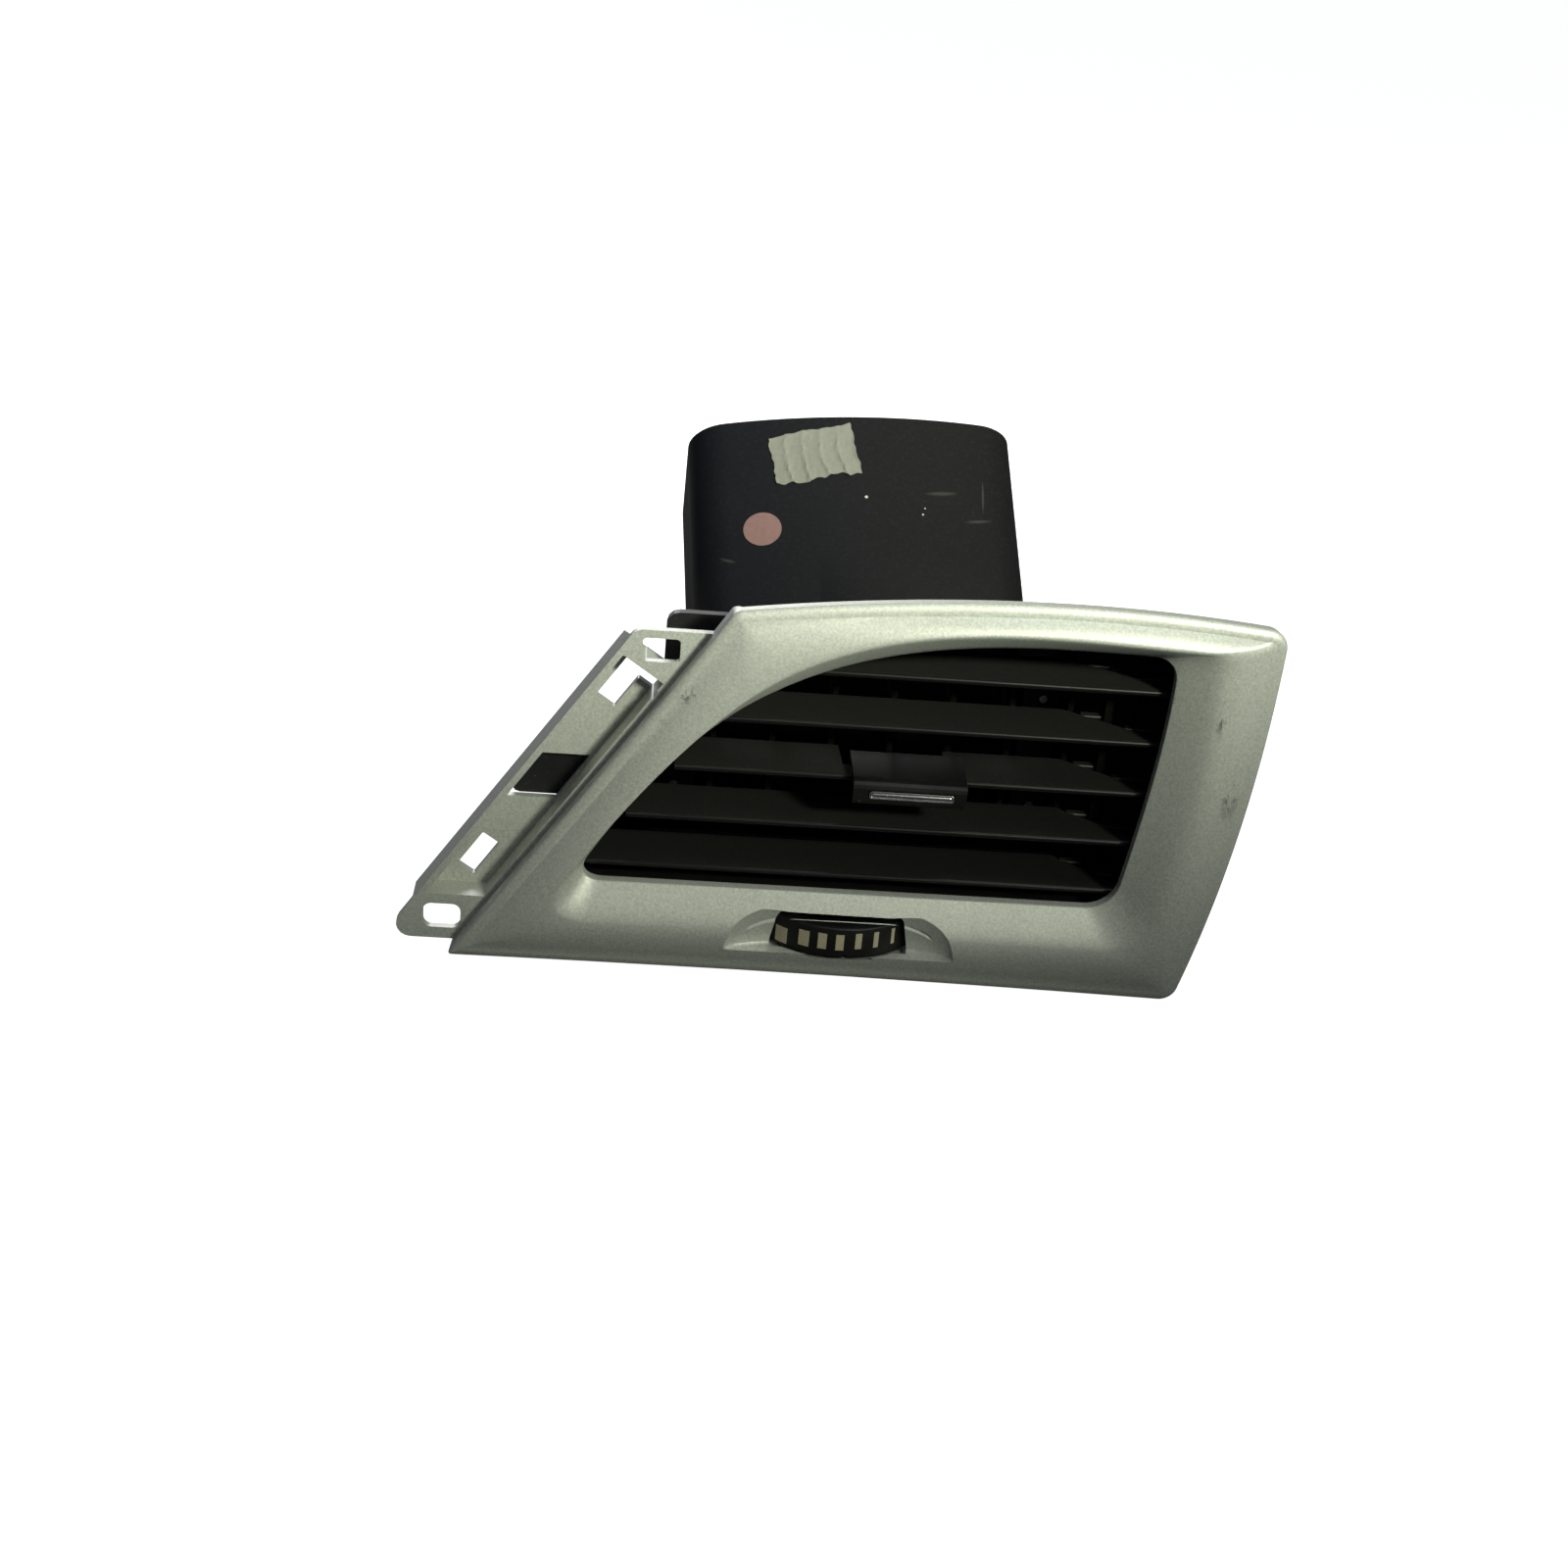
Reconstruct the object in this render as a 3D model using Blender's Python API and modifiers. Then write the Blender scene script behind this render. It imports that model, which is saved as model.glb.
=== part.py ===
"""Dashboard side air vent with louvres, thumbwheel, damper and air duct.

Metres. X runs to the right, Y into the dashboard and Z up. The origin is on the rear rim of
the bezel's lower edge, where the bezel meets the dashboard.
"""
import math
from collections import namedtuple

import bmesh
import bpy
from mathutils import Matrix, Vector
from mathutils.geometry import interpolate_bezier

# Clearances
SEAT_GAP = 0.0003
PIN_GAP = 0.0004

# Bezel outline, seen from the front
BEZEL_HEIGHT = 0.1047
BEZEL_LEAN = 0.0686
BEZEL_BOTTOM_LENGTH = 0.1926
BEZEL_TOP_LENGTH = 0.1379
BEZEL_LEFT_END = -0.1068
BEZEL_LOWER_EDGE = -0.0011
BEZEL_TOP_LEFT_DROP = 0.0039
BEZEL_LOWER_RIGHT_DROP = 0.0017
BEZEL_CORNER_SETBACKS = (0.0015, 0.0016, 0.0050, 0.0038)
BEZEL_BOWS = ((0.0, 1.7), (6.9, -7.6), (6.4, -7.6), (-1.0, 1.0))

# Opening and ridge, each as a shift from the matching corner of the outline
OPENING_SHIFTS = ((0.0314, 0.0231), (0.0131, -0.0205), (-0.0260, -0.0097), (-0.0192, 0.0251))
OPENING_SETBACKS = (0.0082, 0.0070, 0.0065, 0.0075)
OPENING_BOWS = ((10.3, -15.7), (17.5, -9.5), (5.2, -3.3), (-0.1, 0.0))
RIDGE_SHIFTS = ((0.0228, 0.0161), (0.0087, -0.0177), (-0.0161, -0.0059), (-0.0118, 0.0180))
RIDGE_SETBACKS = (0.0140, 0.0080, 0.0040, 0.0100)
RIDGE_BOWS = ((5.0, -8.9), (22.0, -9.9), (7.6, -6.4), (-1.0, 0.0))

# Bezel depths along Y
BEZEL_WALL = 0.0024
RIDGE_DEPTH = -0.0193
RIDGE_ROLL = 0.0005
FACE_FALL = 0.0006
OPENING_DEPTH = -0.0130
OPENING_BACK = -0.0119
LIP_LENGTH = 0.0030
EDGE_DEPTH = -0.0148
EDGE_ROUND = ((0.0018, 0.0020), (0.0005, 0.0011))
EDGE_BACK = 0.0016
SKIRT_DRAFT = 0.0004
TOP_SKIRT_REAR = -0.0115

# Left flange, measured along the slanted side and square to it
FLANGE_FRONT = -0.0102
FLANGE_THICKNESS = 0.0022
FLANGE_WIDTH = 0.0152
FLANGE_FLOOR_THICKNESS = 0.0022
FLANGE_TOP = 0.0914
FLANGE_FOOT = 0.0009
TROUGH_INNER_WALL = 0.0021
TROUGH_RIDGE = 0.0009
TROUGH_OUTER_WALL = 0.0017
TROUGH_BOTTOM = 0.0140
TROUGH_END = 0.0940

# Holes of the flange: spans along the slanted side, then outward from it
UPPER_SLOT = ((0.0785, 0.0915), (0.0050, 0.0107))
LOWER_SLOT = ((0.0176, 0.0290), (0.0051, 0.0103))
SLIT_WIDTH = 0.0027
SLIT_END = 0.0004
CLIP_WINDOW_HEIGHTS = (0.0398, 0.0526)
CLIP_WINDOW_REACH = (0.0013, 0.0131)
CLIP_ARM_SHORTFALL = 0.0020
CLIP_ARM_BOW = 0.0016
CLIP_ARM_THICKNESS = 0.0027
PLATE_HOLES = {
    "upper_plate_hole": ((-0.0557, 0.0861), 0.0095, 0.0063, 0.0011),
    "lower_plate_hole": ((-0.1086, 0.0076), 0.0098, 0.0070, 0.0022),
}

# Thumbwheel and its pocket
WHEEL_X = -0.0045
WHEEL_Y = 0.0050
WHEEL_RADIUS = 0.0235
WHEEL_BOTTOM = 0.0060
WHEEL_THICKNESS = 0.0066
WHEEL_RIM_WALL = 0.0030
WHEEL_GRIP_RISE = 0.0022
WHEEL_GRIP_WIDTH = 0.0036
WHEEL_GRIP_STEPS = 7
WHEEL_WEB = 0.0020
WHEEL_GAP = 0.0008
WHEEL_TRAVEL = 40.0
WHEEL_SLOT_HALVES = (0.0164, 0.0186)
WHEEL_SLOT_DEPTHS = (-0.0145, -0.0050)
POCKET_HALF_LENGTH = 0.0306
POCKET_FLOOR = 0.0064
POCKET_HEIGHT = 0.0114
POCKET_BACK = -0.0125
POCKET_MOUTH = -0.0172
POCKET_FLAT_SHARE = 0.55
POCKET_ROUND = 0.0075
POCKET_WALL = 0.0020
AXLE_RADIUS = 0.0026
AXLE_BOSS_RADIUS = 0.0040

# Housing box behind the bezel
HOUSING_WALL = 0.0022
HOUSING_FRONT = -0.0097
HOUSING_BACK = 0.0310
HOUSING_SHIFTS = ((-0.0086, -0.0035), (0.0031, 0.0148), (0.0028, 0.0001), (0.0039, -0.0038))
HOUSING_TOP_FALL = 0.0125
HOUSING_SETBACK = 0.0030
LUG_FRONT = 0.0010
LUG_THICKNESS = 0.0025
BOSS_RADIUS = 0.0034
SCREW_RADIUS = 0.0012
SCREW_HEAD_RADIUS = 0.0030
SCREW_HEAD_HEIGHT = 0.0018
SCREW_SHIFTS = ((0.0268, 0.0096), (0.0022, -0.0107), (-0.0152, -0.0156), (-0.0198, 0.0113))
BEZEL_SCREW_LENGTH = 0.0120
WHEEL_SCREW_LENGTH = 0.0050
EAR_REACH = 0.0187
EAR_DROP = 0.0155
EAR_SLOPE = 0.0020

# Slats
SLAT_COUNT = 5
SLAT_FIRST_RISE = 0.0027
SLAT_LAST_DROP = 0.0120
SLAT_FRONT = -0.0080
SLAT_DEPTH = 0.0195
SLAT_THICKNESS = 0.0018
SLAT_PIN_RADIUS = 0.0014
SLAT_END_GAP = 0.0008
SLAT_TRAVEL = 20.0
SLAT_NOTCH_LENGTH = 0.0100
SLAT_NOTCH_DEPTH = 0.0068
SLAT_CRANK_ARM = 0.0068
SLAT_CRANK_PIN = 0.0012
SLAT_LINK_WIDTH = 0.0050
SLAT_LINK_THICKNESS = 0.0020

# Vanes
VANE_COUNT = 8
VANE_FIRST_INSET = 0.0194
VANE_LAST_INSET = 0.0134
VANE_FRONT = 0.0128
VANE_AXIS = 0.0245
VANE_REAR = 0.0276
VANE_THICKNESS = 0.0015
VANE_PIN_RADIUS = 0.0013
VANE_FLOOR_GAP = 0.0012
VANE_NOTCH = 0.0062
VANE_CRANK_ARM = 0.0060
VANE_LINK_THICKNESS = 0.0018
VANE_LINK_WIDTH = 0.0040
DRIVEN_VANE = 4
DRIVE_TONGUE_HEIGHT = 0.0061
DRIVE_TONGUE_DROP = 0.0007
DRIVE_BAR_RADIUS = 0.0014

# Knob on the middle slat
KNOB_SHIFT = 0.0034
KNOB_WIDTH = 0.0292
KNOB_FRONT = -0.0155
KNOB_REAR = 0.0046
KNOB_HEIGHT = 0.0068
KNOB_DROP = 0.0008
KNOB_TAIL = 0.0013
KNOB_TRAVEL = 0.0090
FORK_DEPTH = 0.0042
FORK_WALL = 0.0018
TRIM_LENGTH = 0.0224
TRIM_HEIGHT = 0.0028
TRIM_DEPTH = 0.0014

# Duct: a bowed rectangular tube that leaves the housing and turns upward
DUCT_WIDTH = 0.0874
DUCT_HEIGHT = 0.0520
DUCT_CROWN = 0.0046
DUCT_WALL = 0.0022
DUCT_RISE = 40.0
DUCT_LEAN = 4.3
DUCT_LENGTH = 0.0644
DUCT_X = -0.0005
DUCT_CROWN_TOP = 0.0798
DUCT_CORNER = 0.0080
DUCT_FLANGE_THICKNESS = 0.0020
DUCT_FLANGE_BORDER = 0.0030
LOBE_INSET = 0.0100
LOBE_BORDER = 0.0012

# Damper and its drive
DAMPER_SHAFT_ALONG = 0.0045
DAMPER_SHAFT_RISE = 0.0042
DAMPER_SHAFT_RADIUS = 0.0020
DAMPER_THICKNESS = 0.0020
DAMPER_GAP = 0.0016
DAMPER_REST = 40.0
SEAL_THICKNESS = 0.0015
SEAL_OVERHANG = 0.0007
CRANK_ARM = 0.0123
CRANK_THICKNESS = 0.0020
CRANK_PIN_RADIUS = 0.0016
WHEEL_PIN_ARM = CRANK_ARM
WHEEL_PIN_RADIUS = 0.0018
LINK_THICKNESS = 0.0018
LINK_WIDTH = 0.0060
LINK_RUN_GAP = 0.0006
LINK_SIDE_GAP = 0.0012

# Smoothness
SIDE_STEPS = 9
CORNER_STEPS = 4
PIN_SIDES = 8
ROUND_SIDES = 8
WHEEL_SIDES = 32

Corner = namedtuple("Corner", "x z heading_in heading_out setback")


def clear_scene():
    for thing in list(bpy.data.objects):
        bpy.data.objects.remove(thing)


def new_collection(name):
    collection = bpy.data.collections.new(name)
    bpy.context.scene.collection.children.link(collection)
    return collection


def new_material(name, colour, roughness, metallic):
    material = bpy.data.materials.new(name)
    material.use_nodes = True
    shader = material.node_tree.nodes["Principled BSDF"]
    shader.inputs["Base Color"].default_value = (*colour, 1.0)
    shader.inputs["Roughness"].default_value = roughness
    shader.inputs["Metallic"].default_value = metallic
    return material


clear_scene()
PARTS = new_collection("dashboard_air_vent")
CUTTERS = new_collection("cutters")
SILVER = new_material("silver_paint", (0.56, 0.58, 0.52), 0.34, 0.75)
BLACK = new_material("black_plastic", (0.018, 0.018, 0.020), 0.50, 0.0)
DARK = new_material("louvre_plastic", (0.012, 0.012, 0.014), 0.42, 0.0)
CHROME = new_material("chrome_strip", (0.80, 0.80, 0.80), 0.12, 1.0)
FOAM = new_material("seal_foam", (0.035, 0.035, 0.035), 0.95, 0.0)
STEEL = new_material("zinc_steel", (0.60, 0.60, 0.58), 0.35, 1.0)


def heading(angle):
    return Vector((math.cos(math.radians(angle)), math.sin(math.radians(angle))))


def shape(points, bows, setbacks):
    """Four corners, clockwise from the lower left, joined by sides that bow from their chords."""
    chords = []
    for here, there in zip(points, points[1:] + points[:1]):
        angle = math.degrees(math.atan2(there[1] - here[1], there[0] - here[0]))
        chords.append(angle)
    corners = []
    for k, (x, z) in enumerate(points):
        heading_in = chords[k - 1] + bows[k - 1][1]
        heading_out = chords[k] + bows[k][0]
        corners.append(Corner(x, z, heading_in, heading_out, setbacks[k]))
    return corners


def shifted(corners, shifts):
    return [(c.x + dx, c.z + dz) for c, (dx, dz) in zip(corners, shifts)]


def inset(corners, distance):
    """The same shape moved inward by a wall; a negative distance moves it outward."""
    smallest = 0.0004
    result = []
    for c in corners:
        normals = []
        for angle in (c.heading_in, c.heading_out):
            along = heading(angle)
            normals.append(Vector((along.y, -along.x)))
        first, second = normals
        middle = (first + second).normalized()
        reach = distance / middle.dot(first)
        half_turn = math.acos(max(-1.0, min(1.0, first.dot(second)))) / 2
        setback = max(c.setback - distance * math.tan(half_turn), smallest)
        x = c.x + middle.x * reach
        z = c.z + middle.y * reach
        result.append(Corner(x, z, c.heading_in, c.heading_out, setback))
    return result


def turned_by(start, goal, share):
    """An angle part of the way from start to goal, the short way round."""
    return start + ((goal - start + 180) % 360 - 180) * share


def blend(first, second, share):
    mixed = []
    for a, b in zip(first, second):
        x, z, setback = (u + (v - u) * share for u, v in zip((a.x, a.z, a.setback),
                                                             (b.x, b.z, b.setback)))
        mixed.append(Corner(x, z, turned_by(a.heading_in, b.heading_in, share),
                            turned_by(a.heading_out, b.heading_out, share), setback))
    return mixed


def outline_points(corners, side_steps=None):
    """Points round the shape, each corner as a short curve and each side as a long one."""
    side_steps = side_steps or (SIDE_STEPS,) * 4
    round_handle = 0.58
    points = []
    for k, c in enumerate(corners):
        nxt = corners[(k + 1) % len(corners)]
        apex = Vector((c.x, c.z))
        arrive = apex - heading(c.heading_in) * c.setback
        leave = apex + heading(c.heading_out) * c.setback
        first = arrive + heading(c.heading_in) * c.setback * round_handle
        second = leave - heading(c.heading_out) * c.setback * round_handle
        points += bezier(arrive, first, second, leave, CORNER_STEPS)
        goal = Vector((nxt.x, nxt.z)) - heading(nxt.heading_in) * nxt.setback
        reach = (goal - leave).length / 3
        first = leave + heading(c.heading_out) * reach
        second = goal - heading(nxt.heading_in) * reach
        points += bezier(leave, first, second, goal, side_steps[k])
    return points


def bezier(start, first, second, end, steps):
    curve = interpolate_bezier(start, first, second, end, steps + 1)
    return [Vector(p[:2]) for p in curve[:-1]]


def corner_values(pairs):
    """Values that run along the outline points, given where each corner starts and ends."""
    values = []
    for k, (start, end) in enumerate(pairs):
        following = pairs[(k + 1) % len(pairs)][0]
        values += [start + (end - start) * i / CORNER_STEPS for i in range(CORNER_STEPS)]
        values += [end + (following - end) * i / SIDE_STEPS for i in range(SIDE_STEPS)]
    return values


def ring(corners, depth, side_steps=None):
    """A closed ring facing the front, at one depth or with one depth for each point."""
    points = outline_points(corners, side_steps)
    depths = depth if isinstance(depth, list) else [depth] * len(points)
    return [Vector((p.x, y, p.y)) for p, y in zip(points, depths)]


def mesh_from(bm, name):
    bmesh.ops.recalc_face_normals(bm, faces=bm.faces)
    mesh = bpy.data.meshes.new(name)
    bm.to_mesh(mesh)
    bm.free()
    return mesh


def loft(name, rings, closed):
    """Skin over matching rings, returning to the first ring or capped at both ends."""
    bm = bmesh.new()
    rows = [[bm.verts.new(p) for p in points] for points in rings]
    pairs = list(zip(rows, rows[1:]))
    if closed:
        pairs.append((rows[-1], rows[0]))
    else:
        bm.faces.new(rows[0])
        bm.faces.new(rows[-1])
    for here, there in pairs:
        for j in range(len(here)):
            k = (j + 1) % len(here)
            bm.faces.new((here[j], here[k], there[k], there[j]))
    return mesh_from(bm, name)


def add_part(name, mesh, material, origin=(0, 0, 0)):
    """Links a mesh as a part whose origin is where it turns or sits."""
    mesh.transform(Matrix.Translation(-Vector(origin)))
    part = bpy.data.objects.new(name, mesh)
    part.location = origin
    mesh.materials.clear()
    mesh.materials.append(material)
    PARTS.objects.link(part)
    return part


def add_cutter(name, mesh):
    cutter = bpy.data.objects.new(name, mesh)
    cutter.hide_render = True
    cutter.display_type = "WIRE"
    CUTTERS.objects.link(cutter)
    return cutter


def combine(part, other, operation):
    modifier = part.modifiers.new(other.name, "BOOLEAN")
    modifier.operation = operation
    modifier.solver = "EXACT"
    modifier.object = other


def cut(part, name, mesh):
    combine(part, add_cutter(name, mesh), "DIFFERENCE")


def join(part, name, mesh):
    combine(part, add_cutter(name, mesh), "UNION")


def box(name, low, high):
    low, high = Vector(low), Vector(high)
    bm = bmesh.new()
    bmesh.ops.create_cube(bm, size=1.0)
    size = Matrix.Diagonal((*(high - low), 1.0))
    bmesh.ops.transform(bm, matrix=Matrix.Translation((low + high) / 2) @ size, verts=bm.verts)
    return mesh_from(bm, name)


def rods(name, spans, radius, sides=PIN_SIDES):
    """Round rods in one mesh, each from one end point to the other."""
    bm = bmesh.new()
    for start, end in spans:
        start, end = Vector(start), Vector(end)
        turn = (end - start).to_track_quat("Z", "Y").to_matrix().to_4x4()
        place = Matrix.Translation((start + end) / 2) @ turn
        length = (end - start).length
        bmesh.ops.create_cone(bm, cap_ends=True, segments=sides, radius1=radius,
                              radius2=radius, depth=length, matrix=place)
    return mesh_from(bm, name)


def rounded(points, radii, steps=3):
    """A flat outline with each corner rounded by its own radius, or by the one given."""
    radii = radii if isinstance(radii, (list, tuple)) else [radii] * len(points)
    outline = []
    for k, radius in enumerate(radii):
        here = Vector(points[k])
        if radius <= 0:
            outline.append(here)
            continue
        back = (Vector(points[k - 1]) - here).normalized()
        ahead = (Vector(points[(k + 1) % len(points)]) - here).normalized()
        half = back.angle(ahead) / 2
        reach = radius / math.tan(half)
        centre = here + (back + ahead).normalized() * radius / math.sin(half)
        start = here + back * reach - centre
        turn = (here + ahead * reach - centre)
        sweep = start.angle_signed(turn)
        for i in range(steps + 1):
            outline.append(centre + Matrix.Rotation(-sweep * i / steps, 2) @ start)
    return outline


PLANES = {
    "XY": Matrix.Identity(4),
    "XZ": Matrix(((1, 0, 0, 0), (0, 0, -1, 0), (0, 1, 0, 0), (0, 0, 0, 1))),
    "YZ": Matrix(((0, 0, 1, 0), (1, 0, 0, 0), (0, 1, 0, 0), (0, 0, 0, 1))),
}
THICKNESS_AXIS = {"XY": "z", "XZ": "y", "YZ": "x"}


def prism(name, outline, plane, low, high, bevel=0.0):
    """A flat outline in the named plane, thick from low to high along the third axis."""
    curve = bpy.data.curves.new(name, "CURVE")
    curve.dimensions = "2D"
    curve.fill_mode = "BOTH"
    curve.extrude = (high - low) / 2 - bevel
    curve.bevel_depth = bevel
    curve.bevel_resolution = 0
    curve.offset = -bevel
    spline = curve.splines.new("POLY")
    spline.points.add(len(outline) - 1)
    for point, place in zip(spline.points, outline):
        point.co = (place[0], place[1], 0.0, 1.0)
    spline.use_cyclic_u = True
    holder = bpy.data.objects.new(name, curve)
    CUTTERS.objects.link(holder)
    mesh = bpy.data.meshes.new_from_object(holder.evaluated_get(bpy.context.evaluated_depsgraph_get()))
    bpy.data.objects.remove(holder)
    place = Vector()
    setattr(place, THICKNESS_AXIS[plane], (low + high) / 2)
    bm = bmesh.new()
    bm.from_mesh(mesh)
    bmesh.ops.remove_doubles(bm, verts=bm.verts, dist=0.00001)
    bmesh.ops.transform(bm, matrix=Matrix.Translation(place) @ PLANES[plane], verts=bm.verts)
    return mesh_from(bm, name)


def turned(name, profile, sides, place):
    """A body turned about the Z axis from a profile of (radius, height) points."""
    bm = bmesh.new()
    verts = [bm.verts.new((r, 0.0, z)) for r, z in profile]
    for a, b in zip(verts, verts[1:]):
        bm.edges.new((a, b))
    start = bpy.data.meshes.new(name)
    bm.to_mesh(start)
    bm.free()
    holder = bpy.data.objects.new(name, start)
    screw = holder.modifiers.new("turn", "SCREW")
    screw.steps = sides
    screw.render_steps = sides
    screw.use_merge_vertices = True
    screw.merge_threshold = 0.00001
    CUTTERS.objects.link(holder)
    mesh = bpy.data.meshes.new_from_object(holder.evaluated_get(bpy.context.evaluated_depsgraph_get()))
    bpy.data.objects.remove(holder)
    bm = bmesh.new()
    bm.from_mesh(mesh)
    bmesh.ops.transform(bm, matrix=Matrix.Translation(place), verts=bm.verts)
    return mesh_from(bm, name)


def mirrored_rect(centre, width, height):
    x, y = centre
    w, h = width / 2, height / 2
    return [(x - w, y - h), (x + w, y - h), (x + w, y + h), (x - w, y + h)]


# Shapes that several parts share
def bezel_outline():
    left, base = BEZEL_LEFT_END, BEZEL_LOWER_EDGE
    top = base + BEZEL_HEIGHT
    points = [
        (left, base),
        (left + BEZEL_LEAN, top - BEZEL_TOP_LEFT_DROP),
        (left + BEZEL_LEAN + BEZEL_TOP_LENGTH, top),
        (left + BEZEL_BOTTOM_LENGTH, base - BEZEL_LOWER_RIGHT_DROP),
    ]
    return shape(points, BEZEL_BOWS, BEZEL_CORNER_SETBACKS)


OUTLINE = bezel_outline()
OPENING = shape(shifted(OUTLINE, OPENING_SHIFTS), OPENING_BOWS, OPENING_SETBACKS)
RIDGE = shape(shifted(OUTLINE, RIDGE_SHIFTS), RIDGE_BOWS, RIDGE_SETBACKS)
HOUSING_MOUTH = shifted(OPENING, HOUSING_SHIFTS)
SCREW_PLACES = shifted(OUTLINE, SCREW_SHIFTS)
STRAIGHT = ((0.0, 0.0),) * 4
STRAIGHT_STEPS = (1,) * 4
CROWNED_STEPS = (1, SIDE_STEPS, 1, 1)
HOUSING_SETBACKS = (HOUSING_SETBACK,) * 4
HOUSING_FLOOR = HOUSING_MOUTH[0][1]
HOUSING_CEILING = HOUSING_MOUTH[1][1]
HOUSING_DEPTH = HOUSING_BACK - HOUSING_WALL - HOUSING_FRONT

SLAT_AXIS_Y = SLAT_FRONT + SLAT_DEPTH / 2
SLAT_LOW = OPENING[0].z + SLAT_FIRST_RISE
SLAT_HIGH = OPENING[2].z - SLAT_LAST_DROP
SLAT_PITCH = (SLAT_HIGH - SLAT_LOW) / (SLAT_COUNT - 1)
MIDDLE_SLAT = SLAT_COUNT // 2

VANE_LEFT = OPENING[0].x + VANE_FIRST_INSET
VANE_RIGHT = OPENING[3].x - VANE_LAST_INSET
VANE_PITCH = (VANE_RIGHT - VANE_LEFT) / (VANE_COUNT - 1)
DRIVE_X = VANE_LEFT + DRIVEN_VANE * VANE_PITCH
VANE_TRAVEL = math.degrees(math.asin(KNOB_TRAVEL / (VANE_AXIS - SLAT_AXIS_Y)))


def slat_z(row):
    return SLAT_LOW + row * SLAT_PITCH


def left_wall_x(z):
    (x0, z0), (x1, z1) = HOUSING_MOUTH[0], HOUSING_MOUTH[1]
    return x0 + (x1 - x0) * (z - z0) / (z1 - z0)


def left_wall_z(x):
    (x0, z0), (x1, z1) = HOUSING_MOUTH[0], HOUSING_MOUTH[1]
    return z0 + (z1 - z0) * (x - x0) / (x1 - x0)


def right_wall_x(z):
    (x0, z0), (x1, z1) = HOUSING_MOUTH[3], HOUSING_MOUTH[2]
    return x0 + (x1 - x0) * (z - z0) / (z1 - z0)


def ceiling_z(y):
    return HOUSING_CEILING - HOUSING_TOP_FALL * (y - HOUSING_FRONT) / HOUSING_DEPTH


def flange_point(u, v):
    """A point u along the slanted side from the lower left corner and v outward from it."""
    start, end = OUTLINE[0], OUTLINE[1]
    along = Vector((end.x - start.x, end.z - start.z)).normalized()
    out = Vector((-along.y, along.x))
    return Vector((start.x, start.z)) + along * u + out * v


def flange_at_height(z, v):
    """The point at v outward from the slanted side that lies at height z."""
    start, end = flange_point(0.0, v), flange_point(0.1, v)
    return start + (end - start) * (z - start.y) / (end.y - start.y)


LUG_REAR = LUG_FRONT + LUG_THICKNESS


# Bezel
def bezel_shell():
    skirt = inset(OUTLINE, SKIRT_DRAFT)
    flange_rear = FLANGE_FRONT + FLANGE_THICKNESS * 0.8
    rear = corner_values(((0.0, flange_rear), (flange_rear, TOP_SKIRT_REAR),
                          (TOP_SKIRT_REAR, TOP_SKIRT_REAR), (0.0, 0.0)))
    lip_rear = OPENING_DEPTH + LIP_LENGTH
    lip_back = inset(OPENING, -BEZEL_WALL)
    rings = [
        ring(OPENING, lip_rear),
        ring(OPENING, OPENING_DEPTH),
        ring(blend(OPENING, RIDGE, 0.90), RIDGE_DEPTH + RIDGE_ROLL),
        ring(blend(RIDGE, OUTLINE, 0.04), RIDGE_DEPTH),
        ring(blend(RIDGE, OUTLINE, 0.50), RIDGE_DEPTH + FACE_FALL),
    ]
    rings += [ring(inset(OUTLINE, side), EDGE_DEPTH - ahead) for side, ahead in EDGE_ROUND]
    rings += [
        ring(OUTLINE, EDGE_DEPTH),
        ring(skirt, rear),
        ring(inset(skirt, BEZEL_WALL), rear),
        ring(inset(OUTLINE, BEZEL_WALL), EDGE_DEPTH + EDGE_BACK),
        ring(blend(RIDGE, OUTLINE, 0.50), RIDGE_DEPTH + FACE_FALL + BEZEL_WALL),
        ring(blend(RIDGE, OUTLINE, 0.02), RIDGE_DEPTH + BEZEL_WALL),
        ring(lip_back, OPENING_BACK),
        ring(lip_back, lip_rear),
    ]
    return loft("bezel", rings, closed=True)


def flange_plate():
    wall = -TROUGH_INNER_WALL
    tip = flange_at_height(FLANGE_FOOT, FLANGE_WIDTH)
    points = [
        flange_at_height(FLANGE_FOOT, wall),
        tip,
        flange_at_height(FLANGE_TOP, FLANGE_WIDTH),
        flange_at_height(FLANGE_TOP, wall),
    ]
    outline = rounded(points, (0.0, 0.0038, 0.0042, 0.0))
    return prism("flange_plate", outline, "XZ", FLANGE_FRONT, FLANGE_FRONT + FLANGE_THICKNESS)


def trough_outline(margin_in, margin_out, extra):
    inner = TROUGH_RIDGE - margin_in
    outer = FLANGE_WIDTH - margin_out
    low = TROUGH_BOTTOM - extra
    return [
        flange_at_height(low, inner),
        flange_at_height(low, outer),
        flange_point(TROUGH_END + extra, outer),
        flange_point(TROUGH_END + extra, inner),
    ]


def trough_block():
    outline = trough_outline(TROUGH_RIDGE + TROUGH_INNER_WALL, 0.0, FLANGE_FLOOR_THICKNESS)
    return prism("trough_block", outline, "XZ", FLANGE_FRONT, 0.0)


def trough_hollow():
    outline = trough_outline(0.0, TROUGH_OUTER_WALL, 0.0)
    front = FLANGE_FRONT - 0.0010
    return prism("trough_hollow", outline, "XZ", front, -FLANGE_FLOOR_THICKNESS)


def flange_hole(name, outline, radius):
    return prism(name, rounded(outline, radius), "XZ", FLANGE_FRONT - 0.0010, 0.0010)


def upper_slot():
    """A slot with a narrow slit from its upper end to the bezel's side."""
    (start, end), (near, far) = UPPER_SLOT
    slit = end - SLIT_WIDTH
    corners = [(start, near), (start, far), (end, far), (end, SLIT_END), (slit, SLIT_END),
               (slit, near)]
    return flange_hole("upper_slot", [flange_point(u, v) for u, v in corners], 0.0)


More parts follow.
